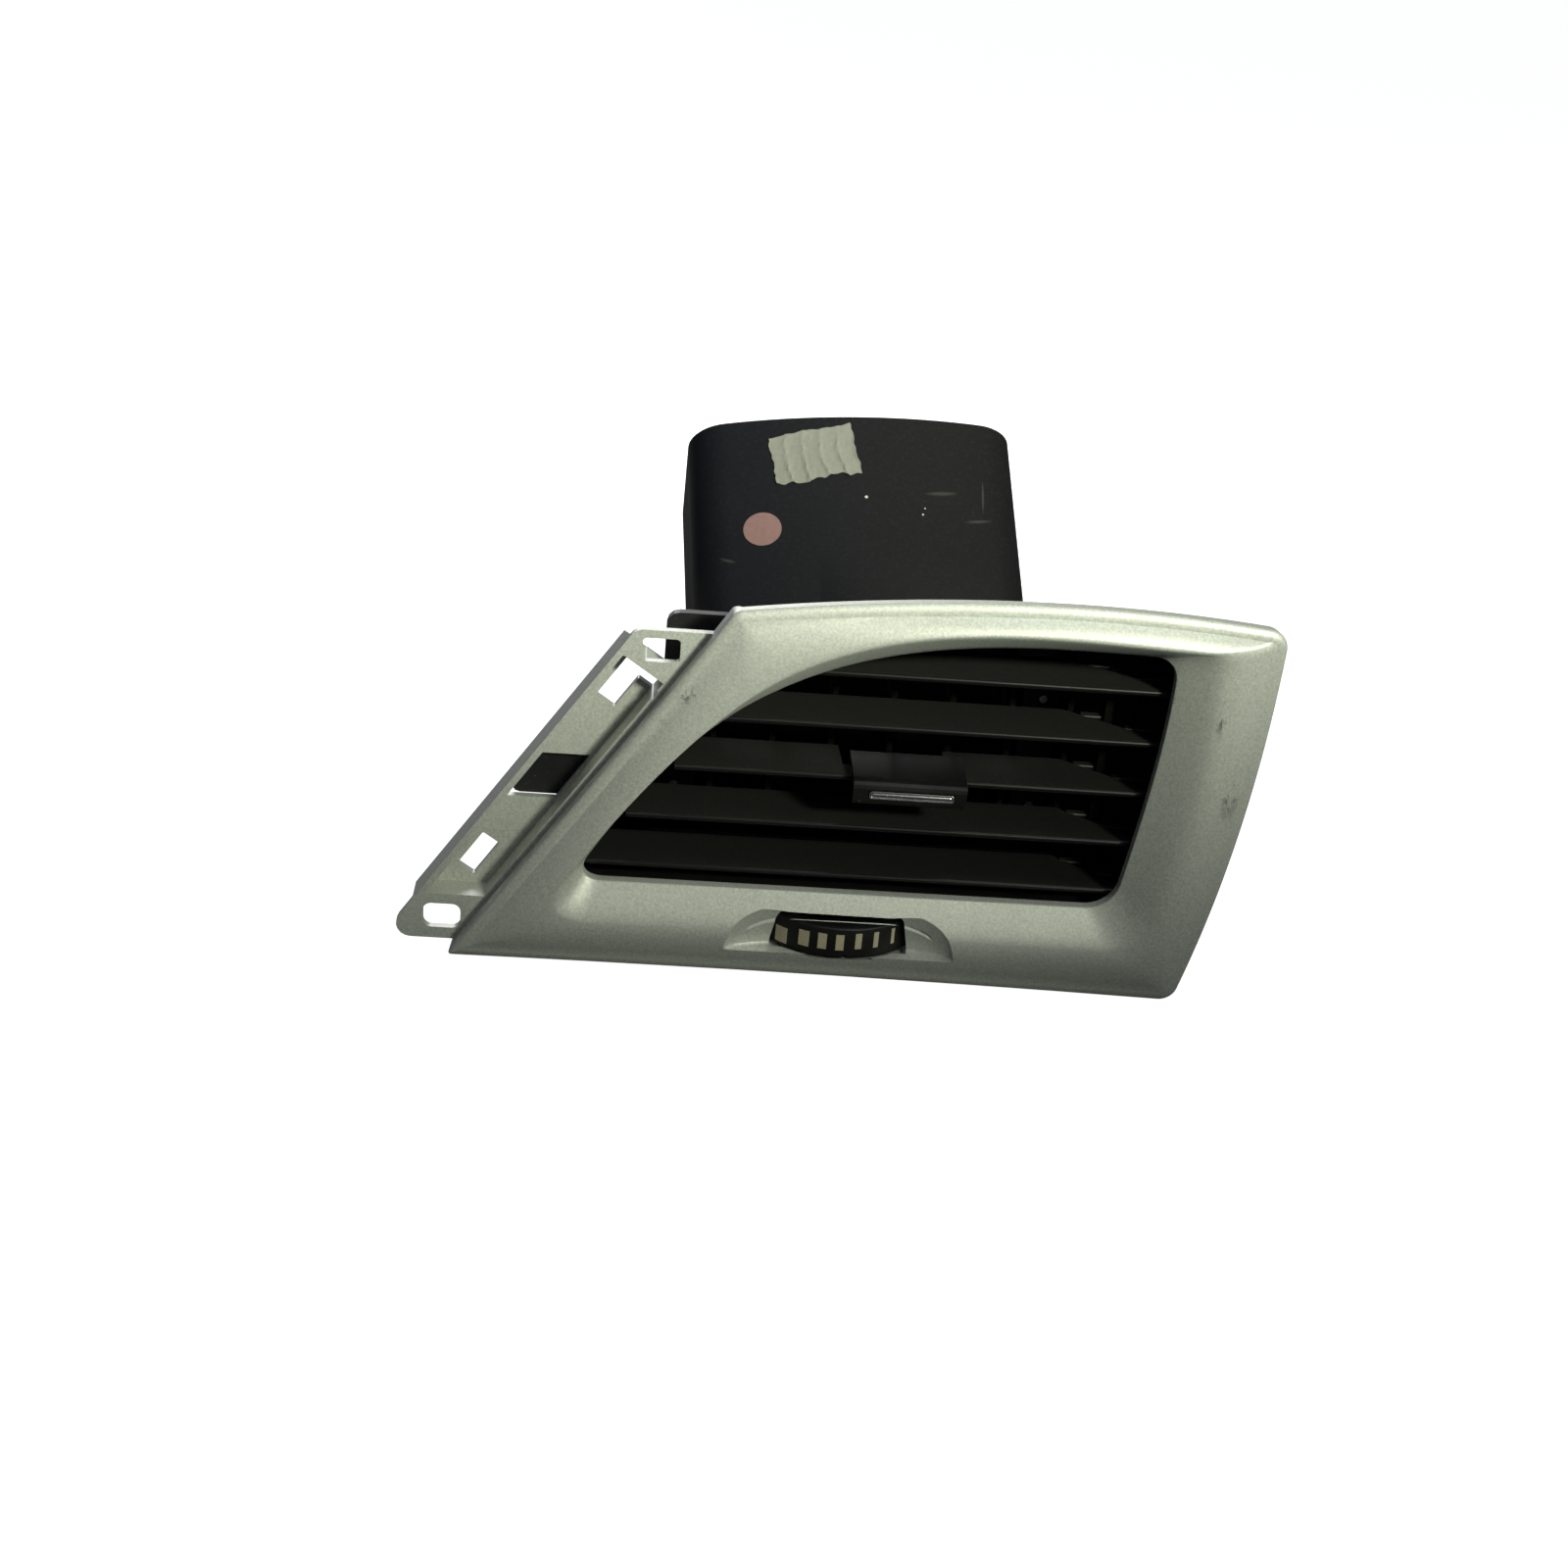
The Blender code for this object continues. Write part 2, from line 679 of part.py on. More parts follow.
def lower_slot():
    (start, end), (near, far) = LOWER_SLOT
    corners = [(start, near), (start, far), (end, far), (end, near)]
    return flange_hole("lower_slot", [flange_point(u, v) for u, v in corners], 0.0)


def clip_window():
    low, high = CLIP_WINDOW_HEIGHTS
    near, far = CLIP_WINDOW_REACH
    points = [
        flange_at_height(low, near), flange_at_height(low, far),
        flange_at_height(high, far), flange_at_height(high, near),
    ]
    return flange_hole("clip_window", points, 0.0)


def plate_holes():
    holes = []
    for name, (centre, width, height, radius) in PLATE_HOLES.items():
        holes.append(flange_hole(name, mirrored_rect(centre, width, height), radius))
    return holes


def pocket_plan():
    """Plan of the thumbwheel pocket: a flat back with two sloping ends, open at the front."""
    half = POCKET_HALF_LENGTH
    flat = half * POCKET_FLAT_SHARE
    front = RIDGE_DEPTH - 0.0030
    points = [
        (WHEEL_X - half, front), (WHEEL_X + half, front), (WHEEL_X + half, POCKET_MOUTH),
        (WHEEL_X + flat, POCKET_BACK), (WHEEL_X - flat, POCKET_BACK), (WHEEL_X - half, POCKET_MOUTH),
    ]
    return rounded(points, (0.0, 0.0, 0.0060, 0.0080, 0.0080, 0.0060), steps=4)


def pocket_front():
    """Front view of the pocket: a straight lip below and rounded upper corners."""
    half = POCKET_HALF_LENGTH
    low, high = POCKET_FLOOR, POCKET_FLOOR + POCKET_HEIGHT
    points = [(WHEEL_X - half, low), (WHEEL_X + half, low), (WHEEL_X + half, high),
              (WHEEL_X - half, high)]
    outline = rounded(points, (0.0, 0.0, POCKET_ROUND, POCKET_ROUND), steps=4)
    return prism("pocket_front", outline, "XZ", RIDGE_DEPTH - 0.0020, POCKET_BACK + 0.0010)


def pocket_wall():
    """Material behind the pocket, kept inside the bezel by stopping at the lower face."""
    half = POCKET_HALF_LENGTH + POCKET_WALL
    flat = half * POCKET_FLAT_SHARE
    back = POCKET_BACK + POCKET_WALL
    seat = RIDGE_DEPTH + BEZEL_WALL + 0.0009
    points = [
        (WHEEL_X + half, seat), (WHEEL_X + flat, back), (WHEEL_X - flat, back),
        (WHEEL_X - half, seat),
    ]
    low = POCKET_FLOOR - POCKET_WALL
    high = POCKET_FLOOR + POCKET_HEIGHT + POCKET_WALL
    return prism("pocket_wall", points, "XY", low, high)


WHEEL_TOP = WHEEL_BOTTOM + WHEEL_THICKNESS
GRIP_TOP = WHEEL_TOP + WHEEL_GRIP_RISE


def wheel_slot():
    half_top, half_low = WHEEL_SLOT_HALVES
    low = WHEEL_BOTTOM - WHEEL_GAP
    high = max(GRIP_TOP + WHEEL_GAP, POCKET_FLOOR + POCKET_HEIGHT - SEAT_GAP)
    points = [
        (WHEEL_X - half_low, low), (WHEEL_X + half_low, low),
        (WHEEL_X + half_top, high), (WHEEL_X - half_top, high),
    ]
    outline = rounded(points, (0.0010, 0.0010, 0.0014, 0.0014))
    return prism("wheel_slot", outline, "XZ", *WHEEL_SLOT_DEPTHS)


def wheel_notch():
    low = WHEEL_BOTTOM - WHEEL_GAP
    high = GRIP_TOP + WHEEL_GAP
    span = ((WHEEL_X, WHEEL_Y, low), (WHEEL_X, WHEEL_Y, high))
    return rods("wheel_notch", [span], WHEEL_RADIUS + WHEEL_GAP, WHEEL_SIDES)


def bezel_bosses():
    start = RIDGE_DEPTH + BEZEL_WALL + 0.0005
    spans = [((x, start, z), (x, LUG_FRONT - SEAT_GAP, z)) for x, z in SCREW_PLACES]
    return rods("bezel_bosses", spans, BOSS_RADIUS, ROUND_SIDES)


def boss_bores():
    spans = [((x, -0.0110, z), (x, LUG_FRONT, z)) for x, z in SCREW_PLACES]
    return rods("boss_bores", spans, SCREW_RADIUS + SEAT_GAP)


def make_bezel():
    bezel = add_part("bezel", bezel_shell(), SILVER)
    join(bezel, "flange_plate", flange_plate())
    join(bezel, "trough_block", trough_block())
    cut(bezel, "trough_hollow", trough_hollow())
    join(bezel, "pocket_wall", pocket_wall())
    pocket = prism("pocket", pocket_plan(), "XY", POCKET_FLOOR - 0.0010,
                   POCKET_FLOOR + POCKET_HEIGHT + 0.0010)
    scoop = add_cutter("pocket", pocket)
    combine(scoop, add_cutter("pocket_front", pocket_front()), "INTERSECT")
    combine(bezel, scoop, "DIFFERENCE")
    cut(bezel, "wheel_slot", wheel_slot())
    cut(bezel, "wheel_notch", wheel_notch())
    for mesh in [upper_slot(), lower_slot(), clip_window()] + plate_holes():
        cut(bezel, mesh.name, mesh)
    join(bezel, "bezel_bosses", bezel_bosses())
    cut(bezel, "boss_bores", boss_bores())
    return bezel


# Housing
def housing_section(y, grow):
    points = [HOUSING_MOUTH[0], (left_wall_x(ceiling_z(y)), ceiling_z(y)),
              (right_wall_x(ceiling_z(y)), ceiling_z(y)), HOUSING_MOUTH[3]]
    return ring(inset(shape(points, STRAIGHT, HOUSING_SETBACKS), -grow), y, STRAIGHT_STEPS)


def housing_box():
    panel = HOUSING_BACK - HOUSING_WALL
    rings = [
        housing_section(panel, 0.0),
        housing_section(HOUSING_FRONT, 0.0),
        housing_section(HOUSING_FRONT, HOUSING_WALL),
        housing_section(HOUSING_BACK, HOUSING_WALL),
    ]
    return loft("housing", rings, closed=False)


def lug(name, outline, radii):
    return prism(name, rounded(outline, radii), "XZ", LUG_FRONT, LUG_REAR)


def housing_lugs():
    """Four screw lugs; the upper left one shows as a rounded ear beside the duct."""
    (lx, lz), (ux, uz), (tx, tz), (rx, rz) = SCREW_PLACES
    reach = BOSS_RADIUS + 0.0012
    root = HOUSING_FLOOR - HOUSING_WALL * 0.4
    into = 0.0008
    low, shoulder, high = uz - EAR_DROP, uz - EAR_DROP + EAR_SLOPE, uz + 0.0032
    ear = [(left_wall_x(low) - into, low), (ux - EAR_REACH, shoulder),
           (ux - EAR_REACH, high), (left_wall_x(high) - into, high)]
    below_left = [(lx - reach, root), (lx - reach, lz - reach), (lx + reach, lz - reach),
                  (lx + reach, root)]
    below_right = [(rx - reach, root), (rx - reach, rz - reach), (rx + reach, rz - reach),
                   (rx + reach, root)]
    beside = [(right_wall_x(tz + reach) + into, tz + reach), (tx + reach, tz + reach),
              (tx + reach, tz - reach), (right_wall_x(tz - reach) + into, tz - reach)]
    lower_radii = (0.0, 0.0020, 0.0020, 0.0)
    return [lug("ear", ear, (0.0, 0.0020, 0.0032, 0.0)),
            lug("lower_left_lug", below_left, lower_radii),
            lug("lower_right_lug", below_right, lower_radii),
            lug("upper_right_lug", beside, lower_radii)]


def clip_arm():
    """The arm behind the flange's window; its bowed end shows as a sliver past the rim."""
    low, high = CLIP_WINDOW_HEIGHTS
    tip = FLANGE_WIDTH - CLIP_ARM_SHORTFALL
    middle = (low + high) / 2
    points = [
        (left_wall_x(low) - HOUSING_WALL * 0.4, low),
        flange_at_height(low, tip - CLIP_ARM_BOW), flange_at_height(middle, tip),
        flange_at_height(high, tip - CLIP_ARM_BOW), (left_wall_x(high) - HOUSING_WALL * 0.4, high),
    ]
    outline = rounded(points, (0.0, 0.0020, 0.0120, 0.0020, 0.0))
    front = SEAT_GAP + 0.0001
    return prism("clip_arm", outline, "XZ", front, front + CLIP_ARM_THICKNESS)


def lug_holes():
    spans = [((x, 0.0, z), (x, LUG_REAR + 0.0010, z)) for x, z in SCREW_PLACES]
    return rods("lug_holes", spans, SCREW_RADIUS + SEAT_GAP)


def slat_ends(row):
    """Where a slat's blade starts and ends, clear of the slanted walls as it tilts."""
    z = slat_z(row)
    swing = SLAT_DEPTH / 2 * math.sin(math.radians(SLAT_TRAVEL)) + SLAT_THICKNESS
    left = left_wall_x(z + swing) + SLAT_END_GAP
    right = right_wall_x(z - swing) - SLAT_END_GAP
    return left, right


def pivot_holes():
    """Holes for the slats' pins in the side walls."""
    spans = []
    for row in range(SLAT_COUNT):
        z = slat_z(row)
        left, right = left_wall_x(z), right_wall_x(z)
        deep = HOUSING_WALL * 2.2
        spans.append(((left - deep, SLAT_AXIS_Y, z), (left + deep, SLAT_AXIS_Y, z)))
        spans.append(((right - deep, SLAT_AXIS_Y, z), (right + deep, SLAT_AXIS_Y, z)))
    return rods("slat_pivot_holes", spans, SLAT_PIN_RADIUS + PIN_GAP)


def vane_x(column):
    return VANE_LEFT + column * VANE_PITCH


def vane_top(column):
    """Top of a vane's blade, under the ceiling or under the slanted wall."""
    x = vane_x(column)
    swing = (VANE_AXIS - VANE_FRONT) * math.sin(math.radians(VANE_TRAVEL)) + VANE_THICKNESS
    under_ceiling = ceiling_z(HOUSING_BACK - HOUSING_WALL) - VANE_FLOOR_GAP
    return min(under_ceiling, left_wall_z(x - swing) - VANE_FLOOR_GAP)


def vane_roof(column):
    """Height of the inner face above a vane's axis."""
    return min(ceiling_z(VANE_AXIS), left_wall_z(vane_x(column)))


def vane_pin_holes():
    spans = []
    for column in range(VANE_COUNT):
        x, roof = vane_x(column), vane_roof(column)
        low = HOUSING_FLOOR - HOUSING_WALL * 1.5
        spans.append(((x, VANE_AXIS, low), (x, VANE_AXIS, HOUSING_FLOOR + 0.0010)))
        spans.append(((x, VANE_AXIS, roof - 0.0030), (x, VANE_AXIS, roof + HOUSING_WALL * 2.4)))
    return rods("vane_pin_holes", spans, VANE_PIN_RADIUS + PIN_GAP)


def axle_boss():
    under = HOUSING_FLOOR - HOUSING_WALL
    start = (WHEEL_X, WHEEL_Y, under + 0.0005)
    return rods("axle_boss", [(start, (WHEEL_X, WHEEL_Y, WHEEL_TOP + SEAT_GAP))],
                AXLE_BOSS_RADIUS, ROUND_SIDES)


def axle_pin():
    under = HOUSING_FLOOR - HOUSING_WALL
    start = (WHEEL_X, WHEEL_Y, under + 0.0005)
    return rods("axle_pin", [(start, (WHEEL_X, WHEEL_Y, WHEEL_BOTTOM + SEAT_GAP))], AXLE_RADIUS,
                ROUND_SIDES)


def axle_bore():
    low = (WHEEL_X, WHEEL_Y, WHEEL_BOTTOM - 0.0010)
    return rods("axle_bore", [(low, (WHEEL_X, WHEEL_Y, WHEEL_BOTTOM + WHEEL_THICKNESS))],
                SCREW_RADIUS + SEAT_GAP)


LINK_BOTTOM = WHEEL_TOP + LINK_RUN_GAP
LINK_TOP = LINK_BOTTOM + LINK_THICKNESS
LINK_X = WHEEL_X + WHEEL_PIN_ARM


def link_guide():
    """A hanging loop under the housing's rear edge that the damper link slides through."""
    half = LINK_WIDTH / 2 + LINK_RUN_GAP + 0.0014
    rear = HOUSING_BACK
    front = max(WHEEL_Y + WHEEL_RADIUS + WHEEL_GAP, rear - 0.0020)
    low = LINK_BOTTOM - LINK_RUN_GAP / 2 - 0.0014
    return box("link_guide", (LINK_X - half, front, low),
               (LINK_X + half, rear, HOUSING_FLOOR - HOUSING_WALL + 0.0005))


def guide_window():
    half = LINK_WIDTH / 2 + LINK_RUN_GAP
    low = LINK_BOTTOM - LINK_RUN_GAP / 2
    high = LINK_TOP + LINK_RUN_GAP / 2
    return box("guide_window", (LINK_X - half, WHEEL_Y + WHEEL_RADIUS, low),
               (LINK_X + half, HOUSING_BACK + 0.0010, high))


def duct_port():
    return loft("duct_port", [duct_ring(MOUTH_FRAME, 0.0, HOUSING_BACK - HOUSING_WALL - 0.001),
                              duct_ring(MOUTH_FRAME, 0.0, HOUSING_BACK + 0.001)], closed=False)


def make_housing():
    housing = add_part("housing", housing_box(), BLACK)
    for mesh in housing_lugs():
        join(housing, mesh.name, mesh)
    join(housing, "clip_arm", clip_arm())
    join(housing, "axle_boss", axle_boss())
    join(housing, "axle_pin", axle_pin())
    join(housing, "link_guide", link_guide())
    cut(housing, "guide_window", guide_window())
    cut(housing, "axle_bore", axle_bore())
    cut(housing, "lug_holes", lug_holes())
    cut(housing, "slat_pivot_holes", pivot_holes())
    cut(housing, "vane_pin_holes", vane_pin_holes())
    cut(housing, "duct_port", duct_port())
    cut(housing, "duct_screw_pilots", duct_screw_holes(SCREW_RADIUS + SEAT_GAP))
    return housing


# Duct
Frame = namedtuple("Frame", "origin across up")


def duct_frame(x, y, z, tilt, lean):
    """A section's frame: its crown point, its direction across and its direction up."""
    rise, side = math.radians(tilt), math.radians(lean)
    up = Vector((0.0, -math.sin(rise), math.cos(rise)))
    flow = Vector((0.0, math.cos(rise), math.sin(rise)))
    across = Vector((math.cos(side), 0.0, 0.0)) + flow * math.sin(side)
    return Frame(Vector((x, y, z)), across, up)


def duct_section(height, grow):
    half = DUCT_WIDTH / 2
    points = [(-half, -height - DUCT_CROWN), (-half, -DUCT_CROWN), (half, -DUCT_CROWN),
              (half, -height - DUCT_CROWN)]
    bow = math.degrees(math.asin(min(0.9, 4 * DUCT_CROWN / DUCT_WIDTH)))
    bows = ((0.0, 0.0), (bow, -bow), (0.0, 0.0), (0.0, 0.0))
    return inset(shape(points, bows, (DUCT_CORNER,) * 4), -grow)


def duct_ring(frame, grow, y=None, height=None):
    """The duct's bowed rectangle laid in a frame, at the frame's own depth unless y is given."""
    corners = duct_section(height or DUCT_HEIGHT, grow)
    points = []
    for p in outline_points(corners, CROWNED_STEPS):
        place = frame.origin + frame.across * p.x + frame.up * p.y
        if y is not None:
            place.y = y
        points.append(place)
    return points


def inner_crown(y, z, tilt):
    """Moves a point on the outer crown line through the wall."""
    rise = math.radians(tilt)
    return y + DUCT_WALL * math.sin(rise), z - DUCT_WALL * math.cos(rise)


DUCT_FRONT = HOUSING_BACK + SEAT_GAP
FLANGE_REAR = DUCT_FRONT + DUCT_FLANGE_THICKNESS
MOUTH_FRAME = duct_frame(DUCT_X, DUCT_FRONT, DUCT_CROWN_TOP - DUCT_WALL, 0.0, 0.0)
BEND_STEPS = 4


def bend_frames():
    """Section frames round the bend, from the flange to where the straight duct starts."""
    frames = []
    inner_radius = 0.0030
    for i in range(1, BEND_STEPS + 1):
        share = i / BEND_STEPS
        tilt = DUCT_RISE * share
        turn = math.radians(tilt)
        y = FLANGE_REAR + inner_radius * math.sin(turn)
        z = DUCT_CROWN_TOP + inner_radius * (1 - math.cos(turn))
        y, z = inner_crown(y, z, tilt)
        frames.append(duct_frame(DUCT_X, y, z, tilt, DUCT_LEAN * share))
    return frames


def along_duct(frame, distance):
    """The frame moved along the leaning duct."""
    rise, side = math.radians(DUCT_RISE), math.radians(DUCT_LEAN)
    flow = Vector((0.0, math.cos(rise), math.sin(rise)))
    axis = flow * math.cos(side) - Vector((math.sin(side), 0.0, 0.0))
    return Frame(frame.origin + axis * distance, frame.across, frame.up)


def duct_frames():
    bend = bend_frames()
    start = Frame(MOUTH_FRAME.origin + Vector((0.0, DUCT_FLANGE_THICKNESS, 0.0)),
                  MOUTH_FRAME.across, MOUTH_FRAME.up)
    return [MOUTH_FRAME, start] + bend + [along_duct(bend[-1], DUCT_LENGTH)]


def duct_shell():
    """Inner and outer skins joined at the rim, with the flange turned out at the mouth."""
    frames = duct_frames()
    border = DUCT_WALL + DUCT_FLANGE_BORDER
    inner = [duct_ring(f, 0.0) for f in frames]
    outer = [duct_ring(f, DUCT_WALL) for f in frames[1:]]
    flange = [duct_ring(MOUTH_FRAME, border, FLANGE_REAR), duct_ring(MOUTH_FRAME, border)]
    return loft("duct", inner + outer[::-1] + flange, closed=True)


def duct_screw_places():
    """Two screws on each side of the duct, on lobes of its flange."""
    reach = DUCT_WIDTH / 2 + DUCT_WALL + SCREW_HEAD_RADIUS + SEAT_GAP
    high = MOUTH_FRAME.origin.z - DUCT_CROWN - LOBE_INSET
    low = MOUTH_FRAME.origin.z - DUCT_CROWN - DUCT_HEIGHT + LOBE_INSET
    return [(DUCT_X + side * reach, z) for side in (-1, 1) for z in (low, high)]


def flange_lobes():
    step = 0.0001
    spans = [((x, DUCT_FRONT + step, z), (x, FLANGE_REAR - step, z)) for x, z in duct_screw_places()]
    return rods("flange_lobes", spans, SCREW_HEAD_RADIUS + LOBE_BORDER, ROUND_SIDES)


def duct_screw_holes(radius):
    spans = [((x, HOUSING_BACK - HOUSING_WALL - 0.001, z), (x, FLANGE_REAR + 0.001, z))
             for x, z in duct_screw_places()]
    return rods("duct_screw_holes", spans, radius)


def damper_place():
    """The damper's own axes: X along its shaft, Y down the duct and Z square to the floor."""
    frame = bend_frames()[-1]
    across = frame.across.normalized()
    along = frame.up.cross(across)
    corner = frame.origin - frame.up * (DUCT_HEIGHT + DUCT_CROWN)
    centre = corner + along * DAMPER_SHAFT_ALONG + frame.up * DAMPER_SHAFT_RISE
    place = Matrix((across, along, frame.up)).transposed().to_4x4()
    place.translation = centre
    return place


def placed(mesh, angle=0.0):
    """Puts a mesh made in the damper's own axes where it belongs, turned about the shaft."""
    mesh.transform(damper_place() @ Matrix.Rotation(math.radians(angle), 4, "X"))
    return mesh


def shaft_holes():
    half = DUCT_WIDTH / 2
    deep = 0.0060
    spans = [((s * half - deep, 0.0, 0.0), (s * half + deep, 0.0, 0.0)) for s in (-1, 1)]
    return placed(rods("shaft_holes", spans, DAMPER_SHAFT_RADIUS + PIN_GAP))


def make_duct():
    duct = add_part("duct", duct_shell(), BLACK)
    join(duct, "flange_lobes", flange_lobes())
    cut(duct, "flange_screw_holes", duct_screw_holes(SCREW_RADIUS + SEAT_GAP))
    cut(duct, "shaft_holes", shaft_holes())
    return duct


# Slats and their link
def slat_blade(row):
    left, right = slat_ends(row)
    rear = SLAT_FRONT + SLAT_DEPTH
    notch_x = LINK_PLANE_LEFT - PIN_GAP
    notch_y = rear - SLAT_NOTCH_DEPTH
    points = [(left, SLAT_FRONT), (right, SLAT_FRONT), (right, notch_y), (notch_x, notch_y),
              (notch_x, rear), (left, rear)]
    radii = [0.0030, 0.0020, 0.0024, 0.0010, 0.0024, 0.0010]
    if row == MIDDLE_SLAT:
        half = KNOB_TRAVEL + DRIVE_BAR_RADIUS + FORK_WALL + 0.0012
        front = SLAT_AXIS_Y - DRIVE_BAR_RADIUS - 0.0014
        points[5:5] = [(DRIVE_X + half, rear), (DRIVE_X + half, front), (DRIVE_X - half, front),
                       (DRIVE_X - half, rear)]
        radii[5:5] = [0.0010, 0.0015, 0.0015, 0.0010]
    z = slat_z(row)
    return prism("blade", rounded(points, radii, steps=2), "XY", z - SLAT_THICKNESS / 2,
                 z + SLAT_THICKNESS / 2, bevel=0.0004)


NARROWEST_WALL_X = min(right_wall_x(slat_z(0)), right_wall_x(slat_z(SLAT_COUNT - 1)))
LINK_PLANE_LEFT = NARROWEST_WALL_X - SLAT_NOTCH_LENGTH
LINK_PLANE_RIGHT = LINK_PLANE_LEFT + SLAT_LINK_THICKNESS


def make_slat(row):
    z = slat_z(row)
    left, right = slat_ends(row)
    slat = add_part(f"slat_{SLAT_COUNT - row}", slat_blade(row), DARK, (0.0, SLAT_AXIS_Y, z))
    into = 0.0030
    wall = HOUSING_WALL * 1.1
    pins = [((left_wall_x(z) - wall, SLAT_AXIS_Y, z), (left + into, SLAT_AXIS_Y, z)),
            ((right - into, SLAT_AXIS_Y, z), (right_wall_x(z) + HOUSING_WALL * 0.8, SLAT_AXIS_Y, z))]
    local(slat, "pins", rods(f"slat_pins_{row}", pins, SLAT_PIN_RADIUS))
    crank_y = SLAT_AXIS_Y + SLAT_CRANK_ARM
    crank = [((LINK_PLANE_LEFT - 0.0030, crank_y, z), (LINK_PLANE_RIGHT + PIN_GAP, crank_y, z))]
    local(slat, "crank", rods(f"slat_crank_{row}", crank, SLAT_CRANK_PIN))
    return slat


def local(part, name, mesh):
    """Joins a mesh given in world places to a part that has its own origin."""
    join(part, f"{part.name}_{name}", mesh)


def make_slat_link():
    y = SLAT_AXIS_Y + SLAT_CRANK_ARM
    low = slat_z(0) - SLAT_LINK_WIDTH / 2
    high = slat_z(SLAT_COUNT - 1) + SLAT_LINK_WIDTH / 2
    half = SLAT_LINK_WIDTH / 2
    outline = rounded([(y - half, low), (y + half, low), (y + half, high), (y - half, high)],
                      half * 0.95, steps=4)
    mesh = prism("slat_link", outline, "YZ", LINK_PLANE_LEFT, LINK_PLANE_RIGHT)
    link = add_part("slat_link", mesh, DARK, (LINK_PLANE_LEFT, y, slat_z(MIDDLE_SLAT)))
    spans = [((LINK_PLANE_LEFT - 0.001, y, slat_z(row)), (LINK_PLANE_RIGHT + 0.001, y, slat_z(row)))
             for row in range(SLAT_COUNT)]
    cut(link, "slat_link_holes", rods("slat_link_holes", spans, SLAT_CRANK_PIN + PIN_GAP))
    return link


# Vanes and their link
def vane_blade(column):
    """Side outline of a vane, with a notch at its lower rear corner for the link."""
    low = HOUSING_FLOOR + VANE_FLOOR_GAP
    top = vane_top(column)
    crank_y = VANE_AXIS - VANE_CRANK_ARM
    notch_rear = crank_y + VANE_LINK_WIDTH / 2 + 0.0018
    shelf = low + VANE_NOTCH
    points = [(VANE_FRONT, shelf), (notch_rear, shelf), (notch_rear, low), (VANE_REAR, low),
              (VANE_REAR, top), (VANE_FRONT, top)]
    radii = [0.0010, 0.0006, 0.0006, 0.0010, 0.0010, 0.0012]
    if column == DRIVEN_VANE:
        low, high = tongue_heights()
        points += [(VANE_FRONT, high), (SLAT_AXIS_Y, high), (SLAT_AXIS_Y, low), (VANE_FRONT, low)]
        radii += [0.0, 0.0, 0.0, 0.0]
    x = vane_x(column)
    return prism("vane", rounded(points, radii, steps=1), "YZ", x - VANE_THICKNESS / 2,
                 x + VANE_THICKNESS / 2)


def tongue_heights():
    """The driven vane's tongue runs under the knob, to the axis of the middle slat."""
    high = slat_z(MIDDLE_SLAT) - DRIVE_TONGUE_DROP
    return high - DRIVE_TONGUE_HEIGHT, high


def make_vane(column):
    x = vane_x(column)
    vane = add_part(f"vane_{column + 1}", vane_blade(column), DARK, (x, VANE_AXIS, HOUSING_FLOOR))
    low = HOUSING_FLOOR + VANE_FLOOR_GAP
    roof = vane_roof(column)
    pins = [((x, VANE_AXIS, HOUSING_FLOOR - HOUSING_WALL * 0.8), (x, VANE_AXIS, low + 0.0030)),
            ((x, VANE_AXIS, vane_top(column) - 0.0030), (x, VANE_AXIS, roof + HOUSING_WALL * 0.8))]
    local(vane, "pins", rods(f"vane_pins_{column}", pins, VANE_PIN_RADIUS))
    crank_y = VANE_AXIS - VANE_CRANK_ARM
    shelf = low + VANE_NOTCH
    crank = [((x, crank_y, vane_link_bottom() - PIN_GAP), (x, crank_y, shelf + 0.0030))]
    local(vane, "crank", rods(f"vane_crank_{column}", crank, SLAT_CRANK_PIN))
    if column == DRIVEN_VANE:
        low, high = tongue_heights()
        bar = [((x, SLAT_AXIS_Y, low), (x, SLAT_AXIS_Y, high))]
        local(vane, "bar", rods("drive_bar", bar, DRIVE_BAR_RADIUS))
    return vane


def vane_link_bottom():
    return HOUSING_FLOOR + VANE_FLOOR_GAP + VANE_NOTCH / 2 - VANE_LINK_THICKNESS / 2


def make_vane_link():
    y = VANE_AXIS - VANE_CRANK_ARM
    half = VANE_LINK_WIDTH / 2
    ends = (vane_x(0) - half, vane_x(VANE_COUNT - 1) + half)
    outline = rounded([(ends[0], y - half), (ends[1], y - half), (ends[1], y + half),
                       (ends[0], y + half)], half * 0.95, steps=4)
    low = vane_link_bottom()
    mesh = prism("vane_link", outline, "XY", low, low + VANE_LINK_THICKNESS)
    link = add_part("vane_link", mesh, DARK, (DRIVE_X, y, low))
    spans = [((vane_x(c), y, low - 0.001), (vane_x(c), y, low + VANE_LINK_THICKNESS + 0.001))
             for c in range(VANE_COUNT)]
    cut(link, "vane_link_holes", rods("vane_link_holes", spans, SLAT_CRANK_PIN + PIN_GAP))
    return link


# Knob
KNOB_X = DRIVE_X + KNOB_SHIFT
KNOB_Z = slat_z(MIDDLE_SLAT) - KNOB_HEIGHT / 2 - KNOB_DROP
KNOB_TOP = KNOB_Z + KNOB_HEIGHT


